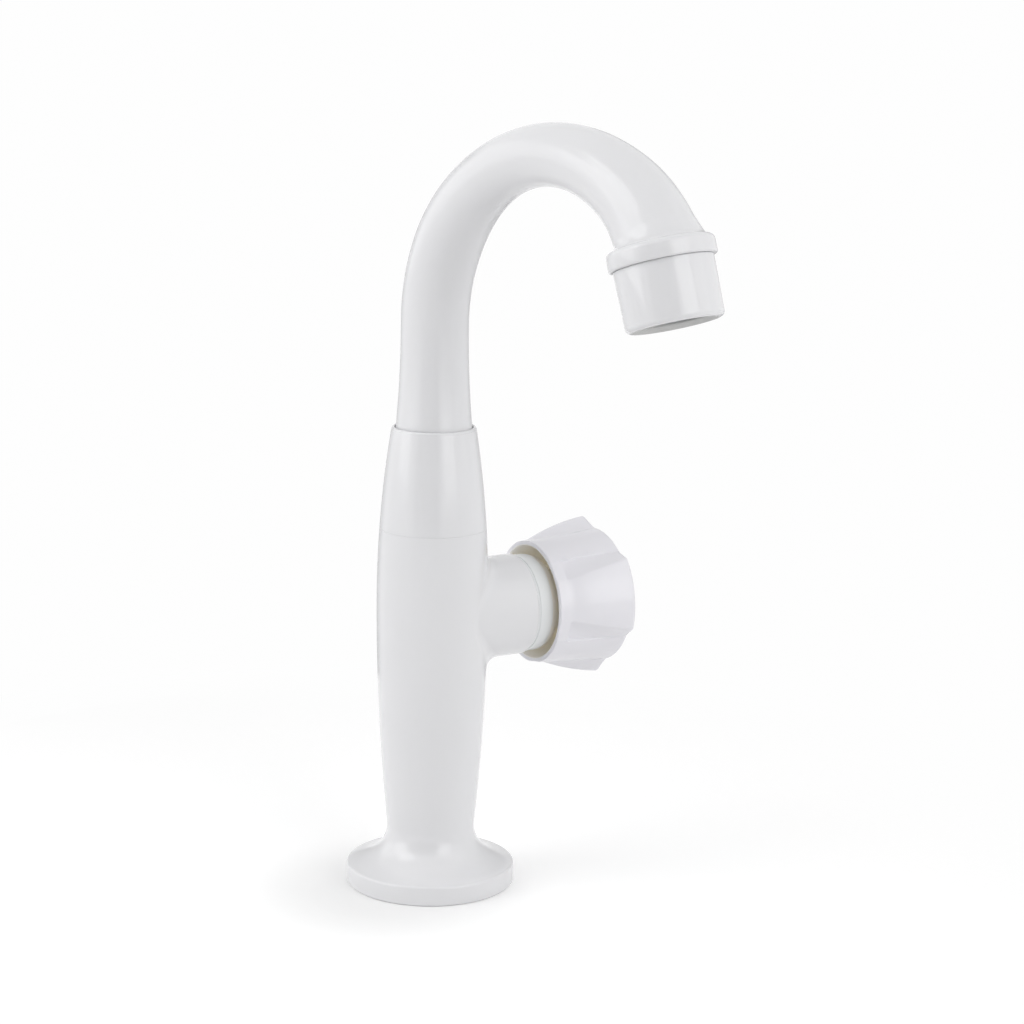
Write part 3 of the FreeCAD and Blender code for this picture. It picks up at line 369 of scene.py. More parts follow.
# Wide at the sleeve by a squared fall, eased by half a cosine to the throat, then flared by a power of the run.
def tubeRadius(run):
    footShare = np.maximum(0, 1 - run / spout["footTaper"]) ** 2
    taper = np.clip((run - spout["throatStart"]) / (spout["throatEnd"] - spout["throatStart"]), 0, 1)
    flare = np.maximum(0, (run - spout["throatEnd"]) / (spoutLength - spout["throatEnd"])) ** spout["flarePower"]
    leg = spout["legRadius"] + (spout["footRadius"] - spout["legRadius"]) * footShare
    return (leg + (spout["throatRadius"] - spout["legRadius"]) * (1 - np.cos(math.pi * taper)) / 2
            + (spout["collarRadius"] - spout["throatRadius"]) * flare)


# One closed profile of (run, radius) is swept along the line: the plug with its grooves, the tube, the bead and nipple
# at the outlet, and the bore back down. The tube runs out into the bead by a power of 1 - sqrt(1 - share^2).
def makeSpout():
    base = spout["foot"]
    corners = [(plug["tail"], spout["bore"]), (plug["tail"], plug["radius"], plug["tailRound"])]
    for low, high, floor in plug["grooves"]:
        corners += [(low, plug["radius"]), (low, floor), (high, floor), (high, plug["radius"])]
    corners += [
        (plug["shoulder"], plug["radius"]), (plug["shoulder"], spout["footRadius"], plug["shoulderRound"]),
        (plug["top"], spout["footRadius"])]
    plugSide = roundedProfile([(height - base, *rest) for height, *rest in corners])
    beadTop = spoutLength - spout["beadHeight"]
    rootStart = beadTop - spout["rootRun"]
    runs = np.concatenate([
        np.linspace(0, rootStart, spout["tubeRows"]), np.linspace(rootStart, beadTop, spout["rootRows"])[1:]])
    radii = tubeRadius(runs)
    shoulder = spout["beadRadius"] - spout["beadTopRound"]
    root = np.clip((runs - rootStart) / spout["rootRun"], 0, 1)
    radii = radii + (shoulder - radii) * (1 - np.sqrt(1 - root ** 2)) ** spout["rootPower"]
    tube = np.stack([runs, radii], -1)
    nippleEnd, boreStep = spoutLength + nipple["reach"], spoutLength - nipple["boreDepth"]
    collar = roundedProfile([
        (beadTop, spout["bore"]), (beadTop, spout["beadRadius"], spout["beadTopRound"]),
        (spoutLength, spout["beadRadius"], spout["beadBottomRound"]),
        (spoutLength, nipple["radius"], nipple["rootRound"]), (nippleEnd, nipple["radius"], nipple["tipRound"]),
        (nippleEnd, nipple["bore"], nipple["boreRound"]), (boreStep, nipple["bore"]), (boreStep, spout["bore"])])[1:]
    boreRuns = np.linspace(boreStep, plug["tail"] - base, spout["boreRows"])[1:-1]
    bore = np.stack([boreRuns, np.full_like(boreRuns, spout["bore"])], -1)
    profile = np.vstack([plugSide, tube, collar, bore])
    grid = sweptGrid(profile[:, 0], profile[:, 1], spout["columns"])
    return makePiece("spoutTube", grid, gridFaces(*grid.shape[:2]), "spout", "spout")


# the aerator's shell, about the outlet's axis
aerator = {
    "radius": 13.43, "draft": 0.25, "gap": 0.06, "length": 16.44, "topRound": 0.25, "bottomRound": 1.5,
    "mouth": 9.9, "mouthFlare": 11.5, "flareHeight": 1.2, "flareRound": 0.4, "mouthEdge": 0.12,
    "lip": 1.8, "lipRound": 0.2, "bore": 11.1, "paintedShadeMargin": 0.05, "columns": 128,
}


# from the collar's own axes (z along the water) to the frame: tilted by the outlet's turn, then swung to the azimuth
def atOutlet(points):
    across, sideways, along = points.T
    outward = across * math.cos(outletTurn) + along * math.sin(outletTurn) + endReach
    upward = -across * math.sin(outletTurn) + along * math.cos(outletTurn) + endHeight
    return swungOut(outward, sideways, upward)


# A cup with a little draft: down its outside from under the bead, round the bottom, and up the flared mouth to the lip.
def makeAeratorShell():
    top, bottom = aerator["gap"], aerator["gap"] + aerator["length"]
    lip = bottom - aerator["lip"]
    profile = roundedProfile([
        (aerator["bore"], top, aerator["lipRound"]), (aerator["radius"], top, aerator["topRound"]),
        (aerator["radius"] - aerator["draft"], bottom, aerator["bottomRound"]),
        (aerator["mouthFlare"], bottom, aerator["mouthEdge"]),
        (aerator["mouth"], bottom - aerator["flareHeight"], aerator["flareRound"]),
        (aerator["mouth"], lip, aerator["lipRound"]), (aerator["bore"], lip)])
    return turnedPiece("aeratorShell", profile, aerator["columns"], "spout", "aerator_shell", atOutlet)


# The knob: mm along and from the boss's axis, and degrees from the middle of a lobe. lobeMiddle is the first lobe's
# angle above -Y. hub is what the knob has inside its end.
knob = {
    "skirt": 33.2, "end": 57.0, "skirtRadius": 18.5, "endRadius": 20.4, "skirtRound": 0.35, "endRound": 0.9,
    "inner": 17.0, "innerRound": 0.3, "coreMargin": 0.3, "faceDepth": 2.5,
    "lobeStart": 36.7, "lobeEnd": 55.3, "lobeFull": 56.0, "lobeFall": 1.5, "lobeMiddle": 11.8, "halfWidth": 39.2,
    "crestStart": 19.0, "crestEnd": 27.0, "crestEase": 1.0, "creaseLead": 0.3, "creaseEase": 1.4,
    "backStart": 35.7, "backEase": 2.4, "backRise": 0.4357, "backBend": -0.0087, "scoop": 0.8, "sag": 0.45,
    "firstRow": 34.4, "skirtRows": 7, "scoopStep": 0.12, "lobeRows": 34, "fallRows": 11, "rowGap": 0.05,
    "columnsOfParts": [9, 4, 8, 3, 9],
}
hub = {
    "capRadius": 8.0, "capRound": 0.2, "capFloor": 55.4, "headRadius": 3.9, "headFloor": 52.6, "screwRadius": 2.1,
    "splineEnd": 50.4, "splineRadius": 4.03, "tip": 45.4, "tipRound": 0.3, "radius": 7.0,
    "roof": 53.8, "roofRound": 0.8,
}
sideSlope = (knob["endRadius"] - knob["skirtRadius"]) / (knob["end"] - knob["skirt"])


# The side is a plain cone: its radius grows by the slope for each mm along the axis.
def knobSide(x):
    return knob["skirtRadius"] + sideSlope * (x - knob["skirt"])


# A lobe's back leaves the side without a crease: over the ease its height grows by run^2 / (2 ease), then by the run
# less half the ease, both times the rise above the side's own slope; the bend adds its share of the run squared.
def knobBack(x):
    run = max(0.0, x - knob["backStart"])
    eased = run ** 2 / (2 * knob["backEase"]) if run < knob["backEase"] else run - knob["backEase"] / 2
    bend = knob["backBend"] * max(0.0, x - knob["lobeStart"]) ** 2
    return knobSide(x) + (knob["backRise"] - sideSlope) * eased + bend


# One lobe's third of the knob across its axis, from valley to valley. The crest is a plain arc of the back's radius.
# Each facet is the straight line from the crest's edge c to the crease w, at an angle a
# r = r1 r2 sin(w - c) / (r1 sin(a - c) + r2 sin(w - a)), and lies a little under the side where it starts, with a sag
# of half a sine wave. lift is how much of the back stands up, and cut how much of the scoop and sag is taken out.
def knobRow(x, share, lift, cut):
    crest = knob["crestStart"] + (knob["crestEnd"] - knob["crestStart"]) * share
    width, ease, outEase = knob["halfWidth"], knob["crestEase"], knob["creaseEase"]
    plain = knobSide(x)
    crease = plain - knob["scoop"] * (1 - share) * cut
    top = plain + (knobBack(x) - plain) * lift
    valley = 60.0
    marks = [0, crest - ease, crest + ease, width - knob["creaseLead"], width + outEase, valley]
    parts = [np.linspace(a, b, n, endpoint=False) for a, b, n in zip(marks, marks[1:], knob["columnsOfParts"])]
    half = np.concatenate(parts + [[valley]])
    a = np.radians(np.clip(half, crest, width))
    c, w = math.radians(crest), math.radians(width)
    facet = top * crease * math.sin(w - c) / (top * np.sin(a - c) + crease * np.sin(w - a))
    facet -= knob["sag"] * (1 - share) * cut * np.sin(math.pi * (a - c) / (w - c))
    outside = plain - (plain - crease) * (1 - smoothStep((half - width) / outEase))
    radius = np.where(half <= width, facet, outside)
    # the crest's corner is eased over its two degrees, by the square of the share
    onCorner = (half > crest - ease) & (half < crest + ease)
    eased = np.clip((half - crest + ease) / (2 * ease), 0, 1) ** 2
    radius = np.where(onCorner, top + (np.interp(crest + ease, half, radius) - top) * eased, radius)
    angles = np.concatenate([-half[:0:-1], half])[:-1]
    return angles, np.concatenate([radius[:0:-1], radius])[:-1]


# Rows of a lobed third from the skirt's rim to the lobes' ends, then plain rings over the end and through the inside.
# Every row is repeated three times round the boss's axis.
def makeKnob():
    start, end = knob["lobeStart"], knob["lobeEnd"]
    span = knob["lobeFull"] - start
    skirt = roundedProfile([
        (knob["inner"], knob["skirt"]), (knob["skirtRadius"], knob["skirt"], knob["skirtRound"]),
        (knob["endRadius"], knob["end"])])[1:-1]
    # x, share of the way to the full crest, lift, cut, and what is added to the radius
    rows = [(x, 0.0, 0.0, 0.0, radius - knobSide(x)) for radius, x in skirt]
    rows += [(x, 0.0, 1.0, 0.0, 0.0) for x in np.linspace(knob["firstRow"], start, knob["skirtRows"])]
    lobeRows = np.linspace(start + knob["scoopStep"], end, knob["lobeRows"])
    rows += [(x, (x - start) / span, 1.0, 1.0, 0.0) for x in lobeRows]
    roundStart = knob["end"] - knob["endRound"]
    # the lobe's end falls as a quarter ellipse, down to the rounded rim of the disc
    for quarter in np.linspace(0, math.pi / 2, knob["fallRows"])[1:]:
        x = end + knob["lobeFall"] * math.sin(quarter)
        sunk = knob["endRound"] - math.sqrt(knob["endRound"] ** 2 - max(0.0, x - roundStart) ** 2)
        rows.append((x, min(1.0, (x - start) / span), math.cos(quarter), math.cos(quarter), -sunk))
    rings = []
    for x, share, lift, cut, shift in rows:
        angles, radius = knobRow(x, share, lift, cut)
        rings.append((angles, radius + shift, x))
    rounded = roundedProfile([
        (knob["skirtRadius"], knob["skirt"]), (knob["endRadius"], knob["end"], knob["endRound"]),
        (hub["capRadius"], knob["end"])])[2:-1]
    rounded = rounded[rounded[:, 1] > end + knob["lobeFall"] + knob["rowGap"]]
    inside = roundedProfile([
        (knob["endRadius"], knob["end"]), (hub["capRadius"], knob["end"], hub["capRound"]),
        (hub["capRadius"], hub["capFloor"]), (hub["headRadius"], hub["capFloor"]),
        (hub["headRadius"], hub["headFloor"]), (hub["screwRadius"], hub["headFloor"]),
        (hub["screwRadius"], hub["splineEnd"]), (hub["splineRadius"], hub["splineEnd"]),
        (hub["splineRadius"], hub["tip"], hub["tipRound"]), (hub["radius"], hub["tip"], hub["tipRound"]),
        (hub["radius"], hub["roof"], hub["roofRound"]), (knob["inner"], hub["roof"], hub["roofRound"]),
        (knob["inner"], knob["skirt"], knob["innerRound"]), (knob["skirtRadius"], knob["skirt"])])[1:-1]
    angles = rings[-1][0]
    rings += [(angles, np.full_like(angles, radius), x) for radius, x in np.vstack([rounded, inside])]
    grid = []
    for angles, radius, x in rings:
        turn = np.radians(np.concatenate([angles + 120 * i for i in range(3)]) + knob["lobeMiddle"] - 90)
        grid.append(roundBoss(x, np.tile(radius, 3), turn))
    grid = np.stack(grid)
    return makePiece("knobGrip", grid, gridFaces(*grid.shape[:2]), "knob", "knob", sharpAngle=28)


# the bonnet, whose shoulder runs in a wide round from the ring in front of the boss to its neck inside the knob
bonnet = {
    "tip": 18.9, "tipRound": 0.6, "threadRadius": 10.05, "ringStart": 28.8, "ringRadius": 14.5, "ringRound": 0.2,
    "shoulderRound": 5.2, "shoulderEnd": 37.2, "neckRadius": 9.0, "neckRound": 0.15, "end": 43.0, "endRound": 0.6,
    "bore": 4.07, "hollow": 7.9, "hollowEnd": 34.5, "paintedShadeShare": 0.8, "columns": 128,
}


# laid over from Z to the boss's axis: x = height, y and z the two across
def atBoss(points):
    return np.stack([points[:, 2], points[:, 0], points[:, 1] + boss["axisHeight"]], -1)


# The profile goes up the thread, over the ring and shoulder to the neck, and back through the bore and the hollow.
def makeBonnet():
    profile = roundedProfile([
        (bonnet["hollow"], bonnet["tip"]), (bonnet["threadRadius"], bonnet["tip"], bonnet["tipRound"]),
        (bonnet["threadRadius"], bonnet["ringStart"]), (bonnet["ringRadius"], bonnet["ringStart"], bonnet["ringRound"]),
        (bonnet["ringRadius"], bonnet["shoulderEnd"], bonnet["shoulderRound"]),
        (bonnet["neckRadius"], bonnet["shoulderEnd"], bonnet["neckRound"]),
        (bonnet["neckRadius"], bonnet["end"], bonnet["endRound"]), (bonnet["bore"], bonnet["end"]),
        (bonnet["bore"], bonnet["hollowEnd"]), (bonnet["hollow"], bonnet["hollowEnd"])], steps=10)
    return turnedPiece("bonnetShoulder", profile, bonnet["columns"], "body", "bonnet", atBoss)


# what goes through the deck: the threaded inlet and its back nut
shank = {
    "bore": 6.5, "spigotRadius": 9.5, "spigotTop": 19.0, "ringLow": 12.07, "ringHigh": 13.93, "ringFloor": 7.7,
    "collarRadius": 12.2, "collarTop": 3.0, "edgeRound": 0.3, "neckRadius": 9.55,
    "crest": 10.4775, "depth": 1.0, "pitch": 1.814, "start": -3.0, "end": -50.2, "flankSlope": 2.6, "crestFlat": 0.15,
    "tailRadius": 9.8, "bottom": -52.0, "tailRound": 0.6, "boreRound": 0.4, "columns": 96, "rowsPerTurn": 10,
}
nut = {
    "across": 30.0, "chamferRadius": 15.3, "chamferAngle": 30.0, "low": -29.5, "faceRound": 0.15, "cornerRound": 0.12,
    "flangeLow": -22.5, "flange": 18.0, "flangeRound": 0.3, "top": -20.5,
    "bore": 10.6, "lowChamfer": 0.5, "topChamfer": 0.4, "columns": 144,
}


# The thread is a helix: at each point the depth is a rounded saw of phase = height / pitch - angle / turn, and it fades
# in over the first turn and out over the last.
def makeShank():
    rows = int((shank["start"] - shank["end"]) / shank["pitch"] * shank["rowsPerTurn"])
    heights = np.linspace(shank["start"], shank["end"], rows)
    above = roundedProfile([
        (shank["bore"], shank["spigotTop"]), (shank["spigotRadius"], shank["spigotTop"], shank["edgeRound"]),
        (shank["spigotRadius"], shank["ringHigh"]), (shank["ringFloor"], shank["ringHigh"]),
        (shank["ringFloor"], shank["ringLow"]), (shank["spigotRadius"], shank["ringLow"]),
        (shank["spigotRadius"], shank["collarTop"]), (shank["collarRadius"], shank["collarTop"], shank["edgeRound"]),
        (shank["collarRadius"], 0), (shank["neckRadius"], 0)])
    below = roundedProfile([
        (shank["tailRadius"], shank["end"]), (shank["tailRadius"], shank["bottom"], shank["tailRound"]),
        (shank["bore"], shank["bottom"], shank["boreRound"]), (shank["bore"], shank["spigotTop"])])[1:-1]
    angle = ringAngles(shank["columns"])
    phase = np.mod(heights[:, None] / shank["pitch"] - angle / (2 * math.pi), 1)
    saw = np.clip(np.abs(phase - 0.5) * shank["flankSlope"] - shank["crestFlat"], 0, 1)
    fade = np.minimum(1, np.minimum(shank["start"] - heights, heights - shank["end"]) / shank["pitch"])[:, None]
    radius = shank["crest"] - shank["depth"] * (1 - (1 - saw) * fade)
    thread = aboutZ(radius, angle, heights[:, None])
    grid = np.vstack([turnedGrid(above, shank["columns"]), thread, turnedGrid(below, shank["columns"])])
    return makePiece("shankThread", grid, gridFaces(*grid.shape[:2]), "body", "threaded_shank", sharpAngle=50)


# A hexagon's outline is half its width over the cosine of the angle from the nearest flat. Its lower corners are cut
# by a cone, so the edge rises by the tangent of the chamfer's angle times what the outline stands out past the circle.
def makeNut():
    angle = ringAngles(nut["columns"])
    fromFlat = np.mod(angle + math.pi / 6, math.pi / 3) - math.pi / 6
    hexagon = nut["across"] / 2 / np.cos(fromFlat)
    cut = np.maximum(0, hexagon - nut["chamferRadius"]) * math.tan(math.radians(nut["chamferAngle"]))
    face = np.minimum(hexagon, nut["chamferRadius"]) - nut["faceRound"]
    bore, flange, edge = nut["bore"], nut["flange"], nut["flangeRound"]
    low, flangeLow, top = nut["low"], nut["flangeLow"], nut["top"]
    rows = [
        (bore, low + nut["lowChamfer"]), (bore + nut["lowChamfer"], low), (face, low),
        (hexagon, low + cut + nut["cornerRound"]), (hexagon, flangeLow - edge), (hexagon + edge, flangeLow),
        (flange - edge, flangeLow), (flange, flangeLow + edge), (flange, top - edge), (flange - edge, top),
        (bore + nut["topChamfer"], top), (bore, top - nut["topChamfer"])]
    grid = np.stack([aboutZ(radius, angle, height) for radius, height in rows])
    return makePiece("backNut", grid, gridFaces(*grid.shape[:2]), "body", "back_nut", sharpAngle=24)


bodyShell = makeBody()
sleeveShell = makeSleeve()
spoutTube = makeSpout()
aeratorShell = makeAeratorShell()
bonnetShoulder = makeBonnet()
knobGrip = makeKnob()
shankThread = makeShank()
backNut = makeNut()
print("pieces made")


# An sRGB hex code as linear: value / 12.92 where it is dark, else ((value + 0.055) / 1.055) to the power 2.4.
def linear(code):
    value = np.array([int(code[i:i + 2], 16) for i in (1, 3, 5)]) / 255
    return (*np.where(value <= 0.04045, value / 12.92, ((value + 0.055) / 1.055) ** 2.4).tolist(), 1.0)


# adds a node with its own settings and its sockets' values, and links outputs of other nodes into its sockets
def addNode(tree, kind, settings=(), values=(), links=()):
    node = tree.nodes.new(kind)
    for name, value in dict(settings).items():
        setattr(node, name, value)
    for name, value in dict(values).items():
        node.inputs[name].default_value = value
    for name, output in dict(links).items():
        tree.links.new(output, node.inputs[name])
    return node


# A moulded or turned finish. Two close colours drift over driftMm, the roughness wanders over the same sizes, and the
# bump is the surface's own waviness or grain at grainMm, grainHeight mm high. stretch draws the grain out along an
# axis.
def surfaceMaterial(name, look):
    material = bpy.data.materials.new(name)
    material.use_nodes = True
    tree = material.node_tree
    shader = tree.nodes["Principled BSDF"]
    place = addNode(tree, "ShaderNodeTexCoord").outputs["Object"]
    spread = addNode(tree, "ShaderNodeMapping", values={"Scale": look.get("stretch", (1, 1, 1))},
                     links={"Vector": place})
    drift = addNode(tree, "ShaderNodeTexNoise", links={"Vector": place},
                    values={"Scale": 1000 / look["driftMm"], "Detail": 3.0, "Roughness": 0.55})
    grain = addNode(tree, "ShaderNodeTexNoise", links={"Vector": spread.outputs["Vector"]},
                    values={"Scale": 1000 / look["grainMm"], "Detail": 2.0, "Roughness": 0.5})
    first, second = (linear(code) for code in look["colours"])
    colour = addNode(tree, "ShaderNodeMix", {"data_type": "RGBA"}, links={"Factor": drift.outputs["Fac"]},
                     values={6: first, 7: second})  # its colour sockets A and B
    low, high = look["roughness"]
    rough = addNode(tree, "ShaderNodeMapRange", links={"Value": drift.outputs["Fac"]},
                    values={"From Min": 0.3, "From Max": 0.7, "To Min": low, "To Max": high})
    bump = addNode(tree, "ShaderNodeBump", values={"Strength": 1.0, "Distance": look["grainHeight"] * 0.001},
                   links={"Height": grain.outputs["Fac"]})
    tree.links.new(colour.outputs[2], shader.inputs["Base Color"])
    tree.links.new(rough.outputs["Result"], shader.inputs["Roughness"])
    tree.links.new(bump.outputs["Normal"], shader.inputs["Normal"])
    for socket, value in look.get("shader", {}).items():
        shader.inputs[socket].default_value = value
    return material


# what both gloss mouldings share: light goes a millimetre or two into white ABS
absShader = {
    "IOR": 1.53, "Subsurface Weight": 0.06, "Subsurface Radius": (1.0, 1.0, 0.9), "Subsurface Scale": 0.0015}
# gloss ABS, injection moulded: bright plain white with a soft orange-peel ripple that bends the reflections a little
whiteAbs = surfaceMaterial("whiteGlossAbs", {
    "colours": ("#e6e6e8", "#eaeaec"), "driftMm": 38, "roughness": (0.13, 0.19), "grainMm": 5.0, "grainHeight": 0.012,
    "shader": absShader})
# the knob's ABS is a shade cooler, almost lilac, and a little less glossy
lilacAbs = surfaceMaterial("coolWhiteAbs", {
    "colours": ("#ecebf0", "#f0eff4"), "driftMm": 24, "roughness": (0.2, 0.28), "grainMm": 3.5, "grainHeight": 0.012,
    "shader": absShader})
# the bare inside of the knob's moulding: cream, dull, with the marks of a rougher tool; the weak emission is a painted
# glow that stands in for the daylight that its thin wall lets through
creamCoreAndPaintedGlow = surfaceMaterial("creamAbsCoreAndPaintedGlow", {
    "colours": ("#f1ece0", "#f6f2ea"), "driftMm": 9, "roughness": (0.4, 0.55), "grainMm": 1.2, "grainHeight": 0.02,
    "shader": {"IOR": 1.53, "Subsurface Weight": 1.0, "Subsurface Radius": (1.0, 0.97, 0.9), "Subsurface Scale": 0.007,
               "Emission Color": linear("#fff0dc"), "Emission Strength": 0.018}})
# natural acetal of the headwork: slightly blue-white and waxy
whiteAcetal = surfaceMaterial("whiteAcetal", {
    "colours": ("#eef1f2", "#f2f4f5"), "driftMm": 12, "roughness": (0.28, 0.36), "grainMm": 1.6, "grainHeight": 0.008,
    "shader": {"IOR": 1.48, "Subsurface Weight": 0.25, "Subsurface Radius": (1.0, 1.0, 0.95),
               "Subsurface Scale": 0.002}})
# grey-white acetal of the aerator's cup and wheel, wetted and limed a little
greyAcetal = surfaceMaterial("greyAcetal", {
    "colours": ("#b9bcc0", "#c9ccce"), "driftMm": 4, "roughness": (0.35, 0.5), "grainMm": 0.8, "grainHeight": 0.008,
    "shader": {"IOR": 1.48}})
# the aerator shell's mouth: the white painted a dull grey, painted shade for the inside of the mouth, which lies in
# shadow
paintedShadeMouthAbs = surfaceMaterial("paintedShadeMouthAbs", {
    "colours": ("#bdbdbc", "#cfcfce"), "driftMm": 3, "roughness": (0.45, 0.6), "grainMm": 0.9, "grainHeight": 0.012,
    "shader": {"IOR": 1.53}})
# natural nylon of slip rings: warm, translucent white
naturalNylon = surfaceMaterial("naturalNylon", {
    "colours": ("#ddd8c8", "#e6e2d6"), "driftMm": 6, "roughness": (0.38, 0.5), "grainMm": 0.9, "grainHeight": 0.006,
    "shader": {"IOR": 1.53, "Subsurface Weight": 0.15, "Subsurface Radius": (1.0, 0.95, 0.8),
               "Subsurface Scale": 0.001}})
# moulded EPDM of seals: near black with a faint dusty bloom
epdmRubber = surfaceMaterial("epdmRubber", {
    "colours": ("#1d1e1f", "#2c2c2d"), "driftMm": 3, "roughness": (0.6, 0.8), "grainMm": 0.4, "grainHeight": 0.012,
    "shader": {"IOR": 1.52}})
# free-cutting brass, turned: warm yellow with fine rings round the spindle's axis, drawn coarser than the tool leaves
# them so that they show
turnedBrass = surfaceMaterial("turnedBrass", {
    "colours": ("#c9a75a", "#d6b86f"), "driftMm": 5, "roughness": (0.22, 0.34), "grainMm": 0.5, "grainHeight": 0.004,
    "stretch": (1.0, 0.06, 0.06), "shader": {"Metallic": 1.0}})
# stainless wire and strip: plain grey steel with a short grain, coarser than the real one so that it shows
stainless = surfaceMaterial("stainlessSteel", {
    "colours": ("#b4b4b2", "#c4c4c3"), "driftMm": 4, "roughness": (0.24, 0.36), "grainMm": 0.3, "grainHeight": 0.003,
    "shader": {"Metallic": 1.0}})

# what each carried-over CAD node is made of
madeOf = {
    whiteAbs: ["column_body", "upper_sleeve", "spout", "aerator_shell", "threaded_shank", "back_nut"],
    whiteAcetal: ["bonnet", "bonnet_gasket"],
    lilacAbs: ["knob", "knob_cap"],
    greyAcetal: ["aerator_housing", "aerator_flow_disc"],
    naturalNylon: ["spout_slip_ring", "spindle_slip_washer"],
    epdmRubber: ["base_seal_ring", "shank_o_ring", "spout_o_rings", "spindle_o_rings", "aerator_gasket",
                 "valve_washer", "deck_washer"],
    turnedBrass: ["spindle", "valve_jumper", "washer_screw"],
    stainless: ["aerator_screens", "spout_retaining_clip", "spindle_clip", "knob_screw"],
}
for material, names in madeOf.items():
    for name in names:
        nodes[name].data.materials.clear()
        nodes[name].data.materials.append(material)

for piece in (bodyShell, sleeveShell, spoutTube, aeratorShell, shankThread, backNut):
    piece.data.materials.append(whiteAbs)
bonnetShoulder.data.materials.append(whiteAcetal)
knobGrip.data.materials.append(lilacAbs)


# gives the faces that the test picks a second material; the test gets the middles of all faces, in mm
def paintFaces(piece, material, test):
    middles = np.empty(len(piece.data.polygons) * 3)
    piece.data.polygons.foreach_get("center", middles)
    piece.data.materials.append(material)
    second = test(middles.reshape(-1, 3) * 1000)
    piece.data.polygons.foreach_set("material_index", second.astype(np.int32))


# the knob's hollow shows the bare core and its painted glow: every face nearer the axis than the skirt's wall and off
# the outer face
def inHollow(middles):
    fromAxis = np.hypot(middles[:, 1], middles[:, 2] - boss["axisHeight"])
    return (fromAxis < knob["inner"] + knob["coreMargin"]) & (middles[:, 0] < knob["end"] - knob["faceDepth"])


# painted light: where the bonnet's shoulder turns in behind the ring it takes the hollow's cream and glow, a painted
# warm tint and glow for the light bounced off the cream hollow
def paintedShadeOnShoulder(middles):
    return middles[:, 0] > bonnet["shoulderEnd"] - bonnet["paintedShadeShare"] * bonnet["shoulderRound"]


# the aerator's mouth, which takes the painted shade, is every face within the flare's radius of the outlet's axis:
# atOutlet the other way round
def inMouth(middles):
    azimuth = math.radians(spout["azimuth"])
    outward = middles[:, 0] * math.cos(azimuth) + middles[:, 1] * math.sin(azimuth) - endReach
    sideways = middles[:, 1] * math.cos(azimuth) - middles[:, 0] * math.sin(azimuth)
    across = outward * math.cos(outletTurn) - (middles[:, 2] - endHeight) * math.sin(outletTurn)
    return np.hypot(across, sideways) < aerator["mouthFlare"] + aerator["paintedShadeMargin"]


# the knob's hollow: the core's cream with its painted glow
paintFaces(knobGrip, creamCoreAndPaintedGlow, inHollow)
# the bonnet's shoulder: a painted warm tint and glow where it turns in
paintFaces(bonnetShoulder, creamCoreAndPaintedGlow, paintedShadeOnShoulder)
# the aerator's mouth: painted shade
paintFaces(aeratorShell, paintedShadeMouthAbs, inMouth)
print("materials set")


# The photo's own camera: place in metres, heading in degrees from +Y towards +X, pitch and roll in radians.
camera = {
    "place": (-0.3569, -0.6492, 0.2701), "heading": 30.58, "pitch": -0.2093, "roll": 0.0154,
    "focalPixels": 2589.9, "picturePixels": 1024, "sensor": 36.0, "clipEnd": 50.0,
}
heading, pitch, roll = math.radians(camera["heading"]), camera["pitch"], camera["roll"]
forward = np.array([math.sin(heading) * math.cos(pitch), math.cos(heading) * math.cos(pitch), math.sin(pitch)])
level = np.array([math.cos(heading), -math.sin(heading), 0.0])
upright = np.cross(level, forward)
right = math.cos(roll) * level + math.sin(roll) * upright
above = math.cos(roll) * upright - math.sin(roll) * level


# an object's matrix from its right, its upward and its backward direction and its place, in metres
def poseMatrix(rightward, upward, backward, place):
    return Matrix([*zip(rightward, upward, backward, place), (0, 0, 0, 1)])


lens = bpy.data.cameras.new("photoCamera")
lens.sensor_width = camera["sensor"]
lens.lens = camera["focalPixels"] / camera["picturePixels"] * camera["sensor"]
lens.clip_end = camera["clipEnd"]
view = bpy.data.objects.new("photoCamera", lens)
scene.collection.objects.link(view)
view.matrix_world = poseMatrix(right, above, -forward, camera["place"])
scene.camera = view

# metres, degrees and watts; a lamp's and a cloth's azimuth counts from the camera to the right
studio = {
    # the floor's glow is weak at the foot and grows outwards from a point a little off its middle: a painted shadow
    # round the foot
    "worldLight": 0.63, "white": 0.99, "floorColour": "#f0f0f0", "footGlow": 0.084, "floorGlow": 0.292,
    "paintedShadowMiddle": (-0.0183, -0.0054, 0.0), "glowStart": 0.010, "glowEnd": 0.055, "whiteStart": 0.04, "whiteEnd": 0.25,
    "floorHalf": 6.0, "floorDrop": 0.0001, "lampAim": 0.11, "clothPosts": 13, "clothLift": 0.001,
    "cloths": [
        # name, colour, azimuth from, azimuth to, distance, height
        ("darkCloth", "#262626", -42.0, 16.0, 1.3, 1.15),
        ("leftFlag", "#c8c8c8", -164.0, -132.0, 0.22, 0.3),
        ("rightFlag", "#c8c8c8", 132.0, 164.0, 0.22, 0.3),
    ],
    "lamps": [
        # name, azimuth, elevation, distance, width, height, watts
        ("leftSoftbox", -76.0, 16.0, 1.2, 0.75, 0.7, 2.9),
        ("leftRearSoftbox", -112.0, 16.0, 1.2, 0.75, 0.7, 1.06),
        ("leftHighSoftbox", -66.0, 42.0, 1.3, 0.8, 0.5, 2.7),
        ("frontHighSoftbox", -20.0, 42.0, 1.3, 0.8, 0.5, 0.5),
        ("rightSoftbox", 40.0, 16.0, 1.2, 0.7, 0.7, 2.65),
        ("rightRearSoftbox", 77.0, 16.0, 1.2, 0.6, 0.7, 0.64),
        ("rightHighSoftbox", 42.0, 42.0, 1.3, 0.8, 0.5, 0.8),
        ("rightRearHighSoftbox", 80.0, 42.0, 1.3, 0.8, 0.5, 0.6),
    ],
}


# a sheet of the studio, of rows and columns of corners in metres; it isn't part of the tap
def stageSheet(name, corners, rows, columns):
    mesh = bpy.data.meshes.new(name)
    mesh.from_pydata(corners, [], gridFaces(rows, columns, False, False).tolist())
    sheet = bpy.data.objects.new(name, mesh)
    scene.collection.objects.link(sheet)
    return sheet


